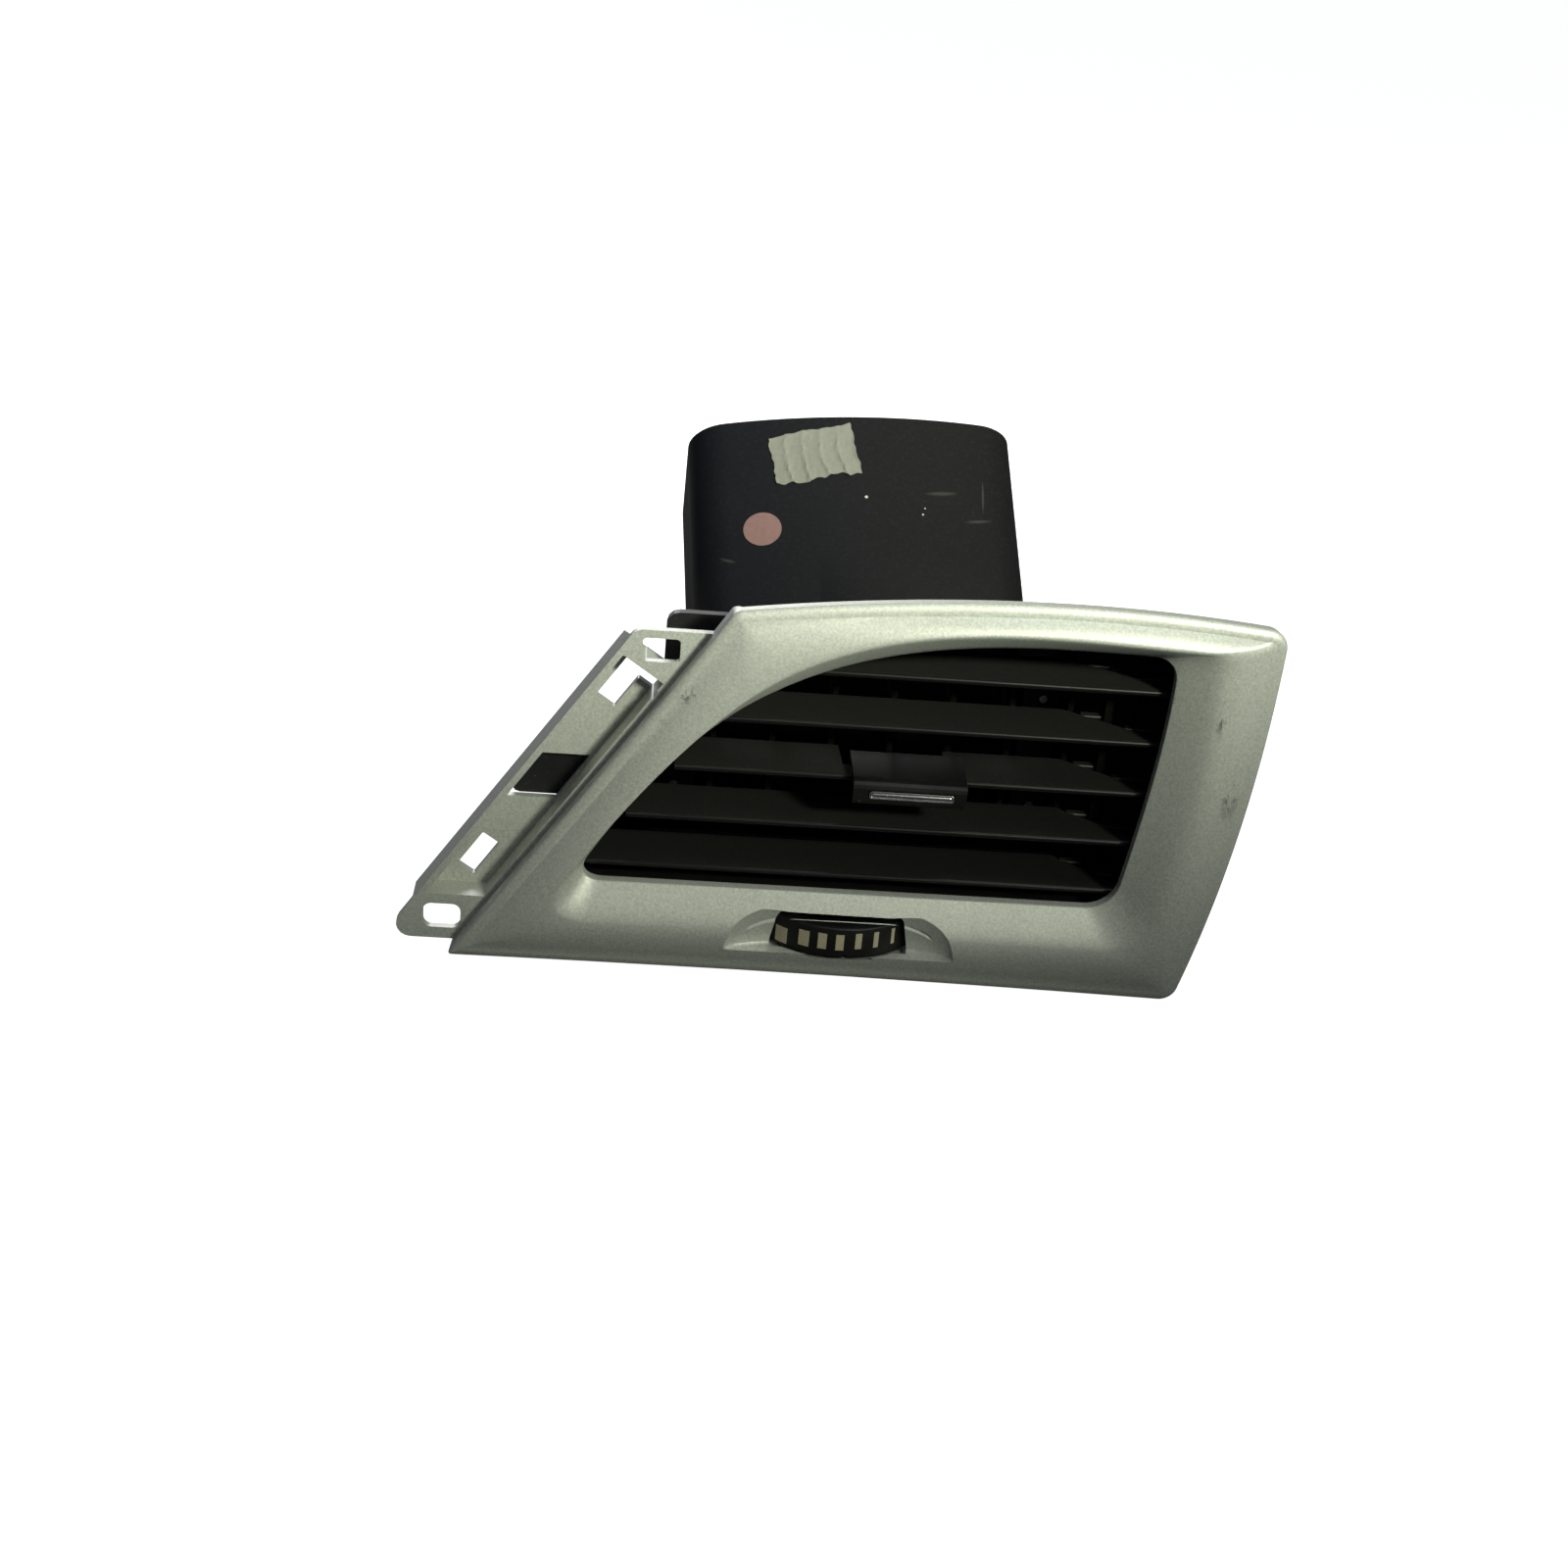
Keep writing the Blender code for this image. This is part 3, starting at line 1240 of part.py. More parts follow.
def knob_body():
    """Side outline of the knob: a lip at the front that thins toward the rear."""
    tail = KNOB_TAIL
    points = [(KNOB_FRONT + 0.0006, KNOB_Z), (SLAT_FRONT + 0.0060, KNOB_Z),
              (SLAT_AXIS_Y - DRIVE_BAR_RADIUS, KNOB_TOP - tail),
              (KNOB_REAR, KNOB_TOP - tail), (KNOB_REAR, KNOB_TOP), (KNOB_FRONT, KNOB_TOP)]
    radii = (0.0016, 0.0, 0.0, 0.0004, 0.0010, 0.0018)
    return prism("knob", rounded(points, radii), "YZ", KNOB_X - KNOB_WIDTH / 2,
                 KNOB_X + KNOB_WIDTH / 2)


def knob_bore():
    z = slat_z(MIDDLE_SLAT)
    half = SLAT_THICKNESS / 2 + SEAT_GAP + 0.0001
    return box("knob_bore", (KNOB_X - KNOB_WIDTH, SLAT_FRONT - 0.0004, z - half),
               (KNOB_X + KNOB_WIDTH, KNOB_REAR + 0.0010, z + half))


def knob_fork():
    """Two tines that straddle the driven vane's bar."""
    z = slat_z(MIDDLE_SLAT)
    inside = DRIVE_BAR_RADIUS + PIN_GAP
    front = SLAT_AXIS_Y - DRIVE_BAR_RADIUS - 0.0008
    low = z - DRIVE_TONGUE_HEIGHT / 2 - DRIVE_TONGUE_DROP
    tines = []
    for side in (-1, 1):
        edges = sorted((DRIVE_X + side * inside, DRIVE_X + side * (inside + FORK_WALL)))
        tines.append(((edges[0], front, low), (edges[1], front + FORK_DEPTH, KNOB_TOP - 0.0008)))
    return tines


def make_knob():
    knob = add_part("knob", knob_body(), DARK, (KNOB_X, SLAT_AXIS_Y, slat_z(MIDDLE_SLAT)))
    cut(knob, "knob_bore", knob_bore())
    for i, (low, high) in enumerate(knob_fork()):
        join(knob, f"knob_tine_{i + 1}", box(f"knob_tine_{i + 1}", low, high))
    seat = trim_outline(0.0)
    recess = prism("trim_recess", seat, "XZ", KNOB_FRONT - 0.0010, KNOB_FRONT + TRIM_DEPTH)
    cut(knob, "trim_recess", recess)
    return knob


def trim_outline(gap):
    centre = (KNOB_X + 0.0005, KNOB_Z + KNOB_HEIGHT * 0.46)
    rect = mirrored_rect(centre, TRIM_LENGTH - 2 * gap, TRIM_HEIGHT - 2 * gap)
    return rounded(rect, 0.0008)


def make_knob_trim():
    rear = KNOB_FRONT + TRIM_DEPTH - SEAT_GAP
    mesh = prism("knob_trim", trim_outline(SEAT_GAP), "XZ", KNOB_FRONT + 0.0001, rear, bevel=0.0003)
    return add_part("knob_trim", mesh, CHROME, (KNOB_X, KNOB_FRONT, KNOB_Z))


# Thumbwheel
def make_thumbwheel():
    """A turned wheel: a rim, and a web that is hollowed from below round the hub."""
    bore = AXLE_RADIUS + PIN_GAP
    hub = bore + 0.0022
    rim = WHEEL_RADIUS - WHEEL_RIM_WALL
    top, bottom = WHEEL_THICKNESS, 0.0
    web_low = WHEEL_THICKNESS - WHEEL_WEB
    edge = 0.0005
    profile = [
        (WHEEL_RADIUS - edge, top), (WHEEL_RADIUS, top - edge), (WHEEL_RADIUS, bottom + edge),
        (WHEEL_RADIUS - edge, bottom), (rim, bottom), (rim, web_low), (hub, web_low),
        (hub, bottom), (bore, bottom), (bore, top), (WHEEL_RADIUS - edge, top),
    ]
    mesh = turned("thumbwheel", profile, WHEEL_SIDES, (WHEEL_X, WHEEL_Y, WHEEL_BOTTOM))
    wheel = add_part("thumbwheel", mesh, DARK, (WHEEL_X, WHEEL_Y, WHEEL_BOTTOM))
    pin = [((LINK_X, WHEEL_Y, WHEEL_BOTTOM + web_low + 0.0002), (LINK_X, WHEEL_Y, LINK_TOP + 0.0004))]
    local(wheel, "pin", rods("wheel_pin", pin, WHEEL_PIN_RADIUS))
    local(wheel, "grip", wheel_grip())
    return wheel


def wheel_grip():
    """The raised front of the rim; it ends before it could meet the link behind."""
    step = math.tau / WHEEL_SIDES
    outer, inner = [], []
    for i in range(-WHEEL_GRIP_STEPS, WHEEL_GRIP_STEPS + 1):
        ray = Vector((math.sin(i * step), -math.cos(i * step)))
        centre = Vector((WHEEL_X, WHEEL_Y))
        outer.append(centre + ray * WHEEL_RADIUS)
        inner.append(centre + ray * (WHEEL_RADIUS - WHEEL_GRIP_WIDTH))
    return prism("wheel_grip", outer + inner[::-1], "XY", WHEEL_TOP - WHEEL_WEB * 0.5, GRIP_TOP)


def screw_mesh(name, seat, direction, shank):
    """A pan head on a shank; the head's underside is at the seat and the shank runs along."""
    seat, direction = Vector(seat), Vector(direction)
    head = SCREW_HEAD_RADIUS
    profile = [
        (0.0, shank), (SCREW_RADIUS, shank), (SCREW_RADIUS, 0.0), (head, 0.0),
        (head, -SCREW_HEAD_HEIGHT * 0.6), (head * 0.7, -SCREW_HEAD_HEIGHT),
        (0.0, -SCREW_HEAD_HEIGHT),
    ]
    mesh = turned(name, profile, ROUND_SIDES, (0.0, 0.0, 0.0))
    mesh.transform(direction.to_track_quat("Z", "Y").to_matrix().to_4x4())
    mesh.transform(Matrix.Translation(seat))
    return mesh


def make_wheel_screw():
    seat = (WHEEL_X, WHEEL_Y, WHEEL_BOTTOM - SEAT_GAP)
    mesh = screw_mesh("wheel_screw", seat, (0, 0, 1), WHEEL_SCREW_LENGTH)
    return add_part("wheel_screw", mesh, STEEL, seat)


def make_bezel_screws():
    for i, (x, z) in enumerate(SCREW_PLACES):
        seat = (x, LUG_REAR + SEAT_GAP, z)
        mesh = screw_mesh(f"bezel_screw_{i + 1}", seat, (0, -1, 0), BEZEL_SCREW_LENGTH)
        add_part(f"bezel_screw_{i + 1}", mesh, STEEL, seat)


def make_duct_screws():
    for i, (x, z) in enumerate(duct_screw_places()):
        seat = (x, FLANGE_REAR + SEAT_GAP, z)
        mesh = screw_mesh(f"duct_screw_{i + 1}", seat, (0, -1, 0), DUCT_FLANGE_THICKNESS + 0.0020)
        add_part(f"duct_screw_{i + 1}", mesh, STEEL, seat)


# Damper, made in its own axes
SHAFT_END = DUCT_WIDTH / 2 + DUCT_WALL + SEAT_GAP + CRANK_THICKNESS


def door_outline(gap, low):
    """The duct's section drawn in by a gap and cut off at a height above the shaft."""
    rise = DUCT_HEIGHT + DUCT_CROWN - DAMPER_SHAFT_RISE
    section = outline_points(duct_section(DUCT_HEIGHT, -gap), CROWNED_STEPS)
    upper = [(p.x, p.y + rise) for p in section if p.y + rise > DUCT_HEIGHT / 2]
    return [(upper[0][0], low)] + upper + [(upper[-1][0], low)]


def make_damper():
    half_thick = DAMPER_THICKNESS / 2
    plate = prism("damper", door_outline(DAMPER_GAP, 0.0), "XZ", -half_thick, half_thick)
    origin = damper_place().translation
    damper = add_part("damper", placed(plate, -DAMPER_REST), BLACK, origin)
    left_end = -DUCT_WIDTH / 2 - DUCT_WALL - 0.0010
    shaft = rods("damper_shaft", [((left_end, 0.0, 0.0), (SHAFT_END, 0.0, 0.0))],
                 DAMPER_SHAFT_RADIUS)
    local(damper, "shaft", placed(shaft))
    return damper


def make_damper_seal():
    rear = -DAMPER_THICKNESS / 2 - SEAT_GAP
    outline = door_outline(DAMPER_GAP - SEAL_OVERHANG, DAMPER_SHAFT_RADIUS + 0.0010)
    mesh = prism("damper_seal", outline, "XZ", rear - SEAL_THICKNESS, rear)
    origin = damper_place().translation
    return add_part("damper_seal", placed(mesh, -DAMPER_REST), FOAM, origin)


def make_damper_crank():
    """The lever on the shaft's end, pointing straight down to the link."""
    boss, tip = DAMPER_SHAFT_RADIUS + 0.0022, CRANK_PIN_RADIUS + 0.0012
    points = [(-boss, boss), (-boss, -boss), (-tip, -CRANK_ARM - tip), (tip, -CRANK_ARM - tip),
              (boss, -boss), (boss, boss)]
    outline = rounded(points, (boss * 0.9, 0.0, tip * 0.9, tip * 0.9, 0.0, boss * 0.9), steps=4)
    start = SHAFT_END - CRANK_THICKNESS
    mesh = prism("damper_crank", outline, "YZ", start, SHAFT_END)
    origin = damper_place().translation
    crank = add_part("damper_crank", placed(mesh, -DUCT_RISE), BLACK, origin)
    bore = [((start - 0.001, 0.0, 0.0), (SHAFT_END + 0.001, 0.0, 0.0))]
    bore = rods("crank_bore", bore, DAMPER_SHAFT_RADIUS + SEAT_GAP)
    cut(crank, "crank_bore", placed(bore, -DUCT_RISE))
    pin_end = SHAFT_END + LINK_SIDE_GAP + LINK_THICKNESS
    pin = [((start + 0.0002, 0.0, -CRANK_ARM), (pin_end, 0.0, -CRANK_ARM))]
    local(crank, "pin", placed(rods("crank_pin", pin, CRANK_PIN_RADIUS), -DUCT_RISE))
    return crank


def crank_pin_place():
    """Where the middle of the crank's pin lies at rest."""
    turn = Matrix.Rotation(math.radians(-DUCT_RISE), 4, "X")
    reach = SHAFT_END + LINK_SIDE_GAP + LINK_THICKNESS / 2
    return damper_place() @ turn @ Vector((reach, 0.0, -CRANK_ARM))


def make_damper_link():
    """A flat strap from the thumbwheel's pin, with an upright end that the crank's pin rides in."""
    pin = crank_pin_place()
    half = LINK_WIDTH / 2
    travel = CRANK_ARM * math.sin(math.radians(WHEEL_TRAVEL))
    side = pin.x - LINK_THICKNESS / 2
    eye = 0.0045
    straight = HOUSING_BACK + travel + 0.0015
    rear = pin.y + half + 0.0010
    turn_y = pin.y - half - 0.0010
    pull = WHEEL_PIN_ARM * (1 - math.cos(math.radians(WHEEL_TRAVEL)))
    left_eye = LINK_X - pull - WHEEL_PIN_RADIUS - 0.0022
    right_eye = LINK_X + WHEEL_PIN_RADIUS + 0.0026
    points = [
        (left_eye, WHEEL_Y - eye), (right_eye, WHEEL_Y - eye), (right_eye, WHEEL_Y + eye),
        (LINK_X + half, WHEEL_Y + eye + 0.0030), (LINK_X + half, straight),
        (side + LINK_THICKNESS, turn_y), (side + LINK_THICKNESS, rear), (side - half, rear),
        (side - half, turn_y), (LINK_X - half, straight + half),
        (LINK_X - half, WHEEL_Y + eye + 0.0030), (left_eye, WHEEL_Y + eye),
    ]
    radii = [0.0018, 0.0018, 0.0, 0.0, 0.0030, 0.0, 0.0, 0.0, 0.0030, 0.0030, 0.0, 0.0]
    mesh = prism("damper_link", rounded(points, radii, steps=2), "XY", LINK_BOTTOM, LINK_TOP)
    link = add_part("damper_link", mesh, BLACK, (LINK_X, WHEEL_Y, LINK_BOTTOM))
    gap = LINK_RUN_GAP
    slot = [
        (LINK_X - pull - WHEEL_PIN_RADIUS - gap, WHEEL_Y - WHEEL_PIN_RADIUS - gap),
        (LINK_X + WHEEL_PIN_RADIUS + gap, WHEEL_Y - WHEEL_PIN_RADIUS - gap),
        (LINK_X + WHEEL_PIN_RADIUS + gap, WHEEL_Y + WHEEL_PIN_RADIUS + gap),
        (LINK_X - pull - WHEEL_PIN_RADIUS - gap, WHEEL_Y + WHEEL_PIN_RADIUS + gap),
    ]
    cut(link, "pin_slot", prism("pin_slot", rounded(slot, 0.0012, steps=2), "XY",
                                LINK_BOTTOM - 0.001, LINK_TOP + 0.001))
    lift = CRANK_ARM * (1 - math.cos(math.radians(WHEEL_TRAVEL)))
    top = pin.z + lift + CRANK_PIN_RADIUS + gap + 0.0022
    upright = [(turn_y, LINK_BOTTOM), (rear, LINK_BOTTOM), (rear, top), (turn_y, top)]
    local(link, "upright", prism("upright", rounded(upright, (0.0, 0.0, 0.0018, 0.0018)), "YZ",
                                 side, side + LINK_THICKNESS))
    wide = CRANK_PIN_RADIUS + gap
    ride = [(pin.y - wide, pin.z - wide), (pin.y + wide, pin.z - wide),
            (pin.y + wide, pin.z + lift + wide), (pin.y - wide, pin.z + lift + wide)]
    cut(link, "ride_slot", prism("ride_slot", rounded(ride, wide * 0.9, steps=3), "YZ",
                                 side - 0.001, side + LINK_THICKNESS + 0.001))
    return link


def build():
    make_bezel()
    make_housing()
    make_duct()
    for row in range(SLAT_COUNT):
        make_slat(row)
    make_slat_link()
    for column in range(VANE_COUNT):
        make_vane(column)
    make_vane_link()
    make_knob()
    make_knob_trim()
    make_thumbwheel()
    make_wheel_screw()
    make_bezel_screws()
    make_duct_screws()
    make_damper()
    make_damper_seal()
    make_damper_crank()
    make_damper_link()


build()
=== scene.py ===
"""Dressed model of a dashboard side air vent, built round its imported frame.

Metres. X runs to the right, Y into the dashboard and Z up, as in the frame.
"""
import math
from collections import namedtuple

import bmesh
import bpy
from bpy.props import FloatProperty, FloatVectorProperty, IntProperty, PointerProperty
from mathutils import Matrix, Vector
from mathutils.geometry import interpolate_bezier


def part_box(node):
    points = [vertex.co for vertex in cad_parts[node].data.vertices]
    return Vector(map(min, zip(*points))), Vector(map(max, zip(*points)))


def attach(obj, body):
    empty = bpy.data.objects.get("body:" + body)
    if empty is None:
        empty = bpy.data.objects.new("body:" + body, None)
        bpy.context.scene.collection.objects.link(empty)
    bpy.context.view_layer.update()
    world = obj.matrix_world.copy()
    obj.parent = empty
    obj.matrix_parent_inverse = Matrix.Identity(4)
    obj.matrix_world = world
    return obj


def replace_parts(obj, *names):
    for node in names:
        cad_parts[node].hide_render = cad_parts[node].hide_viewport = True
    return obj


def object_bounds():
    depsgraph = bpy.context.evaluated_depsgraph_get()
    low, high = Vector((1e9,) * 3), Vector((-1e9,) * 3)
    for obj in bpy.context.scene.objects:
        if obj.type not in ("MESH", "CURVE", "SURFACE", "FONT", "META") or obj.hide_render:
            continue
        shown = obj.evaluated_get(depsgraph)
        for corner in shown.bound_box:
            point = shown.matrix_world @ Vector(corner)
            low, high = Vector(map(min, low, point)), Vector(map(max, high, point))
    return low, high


bl_info = {
    "name": "Dashboard Air Vent",
    "version": (1, 0, 0),
    "blender": (4, 5, 0),
    "location": "View3D > Sidebar > Vent",
    "description": "Builds the paint, marks, stickers and setting of a dashboard air vent",
    "category": "Object",
}

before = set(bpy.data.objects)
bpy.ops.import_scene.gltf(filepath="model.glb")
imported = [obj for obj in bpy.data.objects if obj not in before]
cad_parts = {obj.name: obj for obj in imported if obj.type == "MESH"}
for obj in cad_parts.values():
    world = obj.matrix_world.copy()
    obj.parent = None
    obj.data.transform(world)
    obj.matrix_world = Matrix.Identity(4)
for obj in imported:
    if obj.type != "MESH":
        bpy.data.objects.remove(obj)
CAD_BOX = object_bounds()

# Pieces of the frame by finish
HOUSING_NODES = ("housing", "damper", "damper_crank", "damper_link")
VANE_NODES = tuple(f"vane_{k}" for k in range(1, 9)) + ("vane_link",)
SCREW_NODES = (tuple(f"bezel_screw_{k}" for k in range(1, 5))
               + tuple(f"duct_screw_{k}" for k in range(1, 5)) + ("wheel_screw",))


class VentColours(bpy.types.PropertyGroup):
    silver: FloatVectorProperty(
        name="Silver", description="Paint of the bezel", subtype="COLOR", size=3,
        min=0.0, max=1.0, default=(0.60, 0.62, 0.58))
    black: FloatVectorProperty(
        name="Black", description="Plastic of the housing and duct", subtype="COLOR", size=3,
        min=0.0, max=1.0, default=(0.006, 0.006, 0.007))
    louvre: FloatVectorProperty(
        name="Louvre", description="Plastic of the slats and vanes", subtype="COLOR", size=3,
        min=0.0, max=1.0, default=(0.006, 0.006, 0.0065))
    cream: FloatVectorProperty(
        name="Cream", description="Marks on the thumbwheel", subtype="COLOR", size=3,
        min=0.0, max=1.0, default=(0.60, 0.54, 0.38))
    paper: FloatVectorProperty(
        name="Paper", description="Bare sticker on the duct", subtype="COLOR", size=3,
        min=0.0, max=1.0, default=(0.19, 0.192, 0.172))
    dot: FloatVectorProperty(
        name="Dot", description="Round sticker on the duct", subtype="COLOR", size=3,
        min=0.0, max=1.0, default=(0.20, 0.115, 0.112))


class VentSizes(bpy.types.PropertyGroup):
    mark_count: IntProperty(
        name="Marks", description="Cream marks round the thumbwheel", min=1, max=20, default=7)
    mark_height: FloatProperty(
        name="Mark height", description="Height of each cream mark", unit="LENGTH",
        min=0.001, max=0.006, default=0.0045)
    dot_diameter: FloatProperty(
        name="Dot diameter", description="Round sticker on the duct", unit="LENGTH",
        min=0.002, max=0.03, default=0.0104)
    camera_lens: FloatProperty(
        name="Lens", description="Focal length of the camera", unit="CAMERA",
        min=10.0, max=200.0, default=54.0)


# Node helpers
class Nodes:
    """A node tree whose nodes are added by short calls."""

    def add(self, kind, **settings):
        node = self.tree.nodes.new(kind)
        for key, value in settings.items():
            setattr(node, key, value)
        return node

    def link(self, start, end):
        self.tree.links.new(start, end)

    def feed(self, socket, value):
        if isinstance(value, bpy.types.NodeSocket):
            self.link(value, socket)
        else:
            socket.default_value = value

    def maths(self, operation, first, second=0.0):
        node = self.add("ShaderNodeMath", operation=operation)
        self.feed(node.inputs[0], first)
        self.feed(node.inputs[1], second)
        return node.outputs["Value"]

    def parts(self, vector):
        """The three numbers of a vector."""
        node = self.add("ShaderNodeSeparateXYZ")
        self.link(vector, node.inputs["Vector"])
        return node.outputs

    def vector(self, x, y, z):
        node = self.add("ShaderNodeCombineXYZ")
        for socket, value in zip(node.inputs, (x, y, z)):
            self.feed(socket, value)
        return node.outputs["Vector"]


class Recipe(Nodes):
    """A Geometry Nodes tree with named sizes."""

    def __init__(self, name):
        self.tree = bpy.data.node_groups.new(name, "GeometryNodeTree")
        self.keys = {}
        for way in ("INPUT", "OUTPUT"):
            self.tree.interface.new_socket("Geometry", in_out=way,
                                           socket_type="NodeSocketGeometry")
        self.start = self.add("NodeGroupInput")
        self.end = self.add("NodeGroupOutput")

    def size(self, name, kind="Float"):
        socket = self.tree.interface.new_socket(name, in_out="INPUT",
                                                socket_type=f"NodeSocket{kind}")
        self.keys[name] = socket.identifier
        return self.start.outputs[name]

    def through(self, kind, geometry, entry="Geometry", leave=0, **inputs):
        """Passes geometry through one node whose other inputs are given by name."""
        node = self.add(kind)
        self.link(geometry, node.inputs[entry])
        for name, value in inputs.items():
            self.feed(node.inputs[name.replace("_", " ")], value)
        return node.outputs[leave]

    def finish(self, geometry):
        """Realizes the instances, sets the material and ends the tree."""
        geometry = self.through("GeometryNodeRealizeInstances", geometry)
        material = self.size("Material", "Material")
        geometry = self.through("GeometryNodeSetMaterial", geometry, Material=material)
        self.link(geometry, self.end.inputs[0])

    def made(self, seed, material, **sizes):
        """The mesh that the tree grows from a seed mesh, as a bmesh."""
        holder = object_from(self.tree.name, seed)
        bpy.context.scene.collection.objects.link(holder)
        modifier = holder.modifiers.new("recipe", "NODES")
        modifier.node_group = self.tree
        modifier[self.keys["Material"]] = material
        for name, value in sizes.items():
            modifier[self.keys[name.replace("_", " ")]] = value
        shown = holder.evaluated_get(bpy.context.evaluated_depsgraph_get())
        mesh = bpy.data.meshes.new_from_object(shown)
        result = bmesh.new()
        result.from_mesh(mesh)
        seed_mesh = holder.data
        bpy.data.objects.remove(holder)
        for used in (mesh, seed_mesh):
            bpy.data.meshes.remove(used)
        return result


class Paint(Nodes):
    """A material on the object's own coordinates."""

    def __init__(self, name):
        self.material = bpy.data.materials.new(name)
        self.material.use_nodes = True
        self.tree = self.material.node_tree
        self.shader = self.tree.nodes["Principled BSDF"]
        self.place = self.add("ShaderNodeTexCoord").outputs["Object"]

    def noise(self, scale, detail=3.0, roughness=0.55, place=None):
        node = self.add("ShaderNodeTexNoise")
        self.link(place or self.place, node.inputs["Vector"])
        node.inputs["Scale"].default_value = scale
        node.inputs["Detail"].default_value = detail
        node.inputs["Roughness"].default_value = roughness
        return node.outputs["Fac"]

    def spread(self, value, low, high, start=0.0, end=1.0):
        """Maps low..high onto start..end and holds it there."""
        node = self.add("ShaderNodeMapRange")
        self.feed(node.inputs["Value"], value)
        for name, number in (("From Min", low), ("From Max", high), ("To Min", start),
                             ("To Max", end)):
            node.inputs[name].default_value = number
        return node.outputs["Result"]

    def mix(self, share, first, second):
        node = self.add("ShaderNodeMix", data_type="RGBA")
        self.feed(node.inputs["Factor"], share)
        for socket, colour in ((node.inputs[6], first), (node.inputs[7], second)):
            if isinstance(colour, bpy.types.NodeSocket):
                self.link(colour, socket)
            else:
                socket.default_value = (*colour, 1.0)
        return node.outputs[2]

    def dappled(self, pattern, colour, factor, low, high):
        """A colour that a pattern darkens or lightens by a factor."""
        return self.mix(self.spread(pattern, low, high), colour, shade(colour, factor))

    def moved(self, centre, turn=(0.0, 0.0, 0.0), scale=(1.0, 1.0, 1.0)):
        """Object coordinates seen from a centre, turned and then stretched."""
        shift = self.add("ShaderNodeVectorMath", operation="SUBTRACT")
        self.link(self.place, shift.inputs[0])
        shift.inputs[1].default_value = centre
        mapping = self.add("ShaderNodeMapping")
        self.link(shift.outputs["Vector"], mapping.inputs["Vector"])
        mapping.inputs["Rotation"].default_value = turn
        mapping.inputs["Scale"].default_value = scale
        return mapping.outputs["Vector"]

    def near(self, centre, reach, soft=0.5, turn=(0.0, 0.0, 0.0)):
        """One inside an ellipsoid round the centre and nought outside it."""
        spot = self.moved(centre, turn, tuple(1.0 / r for r in reach))
        length = self.add("ShaderNodeVectorMath", operation="LENGTH")
        self.link(spot, length.inputs[0])
        return self.spread(length.outputs["Value"], 1.0, 1.0 - soft)

    def bump(self, height, strength, distance):
        node = self.add("ShaderNodeBump")
        node.inputs["Strength"].default_value = strength
        node.inputs["Distance"].default_value = distance
        self.link(height, node.inputs["Height"])
        self.link(node.outputs["Normal"], self.shader.inputs["Normal"])

    def look(self, **values):
        for name, value in values.items():
            self.feed(self.shader.inputs[name.replace("_", " ")], value)


def shade(colour, factor):
    return tuple(min(1.0, c * factor) for c in colour)


# Centre, reach and streak scale of each scuffed place
SCUFFS = (
    ((0.0914, -0.0185, 0.0604), (0.0035, 0.0060, 0.0110), (520.0, 300.0, 160.0)),
    ((0.0853, -0.0185, 0.0809), (0.0025, 0.0060, 0.0060), (520.0, 300.0, 160.0)),
    ((-0.0701, -0.0180, 0.0272), (0.0040, 0.0060, 0.0025), (700.0, 300.0, 300.0)),
    ((-0.0546, -0.0180, 0.0695), (0.0022, 0.0060, 0.0007), (300.0, 300.0, 1800.0)),
    ((-0.0690, -0.0180, 0.0564), (0.0016, 0.0060, 0.0014), (900.0, 300.0, 900.0)),
    ((-0.0490, -0.0180, 0.0773), (0.0040, 0.0060, 0.0030), (900.0, 300.0, 900.0)),
)


def silver_paint():
    paint = Paint("silver paint")
    silver = bpy.context.scene.vent_colours.silver
    grain = paint.noise(1500.0, 3.0, 0.7)
    cloud = paint.noise(45.0, 3.0)
    tone = paint.mix(paint.spread(grain, 0.33, 0.67), shade(silver, 0.80), shade(silver, 1.14))
    tone = paint.mix(paint.spread(cloud, 0.4, 0.75, 0.0, 0.25), tone, shade(silver, 0.90))
    rough = paint.spread(cloud, 0.3, 0.7, 0.46, 0.52)
    scuff = None
    for centre, reach, scale in SCUFFS:
        zone = paint.near(centre, reach, 0.7)
        marks = paint.noise(1.0, 4.0, 0.7, paint.moved(centre, (0.0, 0.5, 0.0), scale))
        worn = paint.maths("MULTIPLY", zone, paint.spread(marks, 0.52, 0.60))
        scuff = worn if scuff is None else paint.maths("MAXIMUM", scuff, worn)
    dirt = (0.09, 0.085, 0.075)
    tone = paint.mix(paint.maths("MULTIPLY", scuff, 0.75), tone, dirt)
    paint.look(Base_Color=tone, Roughness=rough, Metallic=0.35)
    paint.bump(grain, 0.14, 0.00010)
    return paint.material


def moulded(name, colour, rough, grain_scale, grain_depth):
    """Moulded plastic with a fine grain, dust and a slow change of gloss."""
    paint = Paint(name)
    grain = paint.noise(grain_scale, 3.0)
    cloud = paint.noise(60.0, 4.0)
    tone = paint.dappled(cloud, colour, 1.8, 0.35, 0.75)
    dust = paint.spread(paint.noise(900.0, 2.0), 0.68, 0.74)
    tone = paint.mix(paint.maths("MULTIPLY", dust, 0.20), tone, (0.16, 0.155, 0.14))
    paint.look(Base_Color=tone, Roughness=paint.spread(cloud, 0.3, 0.7, rough, rough + 0.10))
    paint.look(Specular_IOR_Level=0.42)
    paint.bump(grain, 0.25, grain_depth)
    return paint.material


def painted_shade_plastic(name, colour):
    """Dull black plastic for parts deep in the opening; its callers pass a darkened colour as
    painted shade.
    """
    paint = Paint(name)
    grain = paint.noise(1600.0, 3.0)
    paint.look(Base_Color=paint.dappled(grain, colour, 2.0, 0.35, 0.7))
    paint.look(Roughness=paint.spread(grain, 0.3, 0.7, 0.62, 0.75), Specular_IOR_Level=0.12)
    paint.bump(grain, 0.25, 0.00003)
    return paint.material


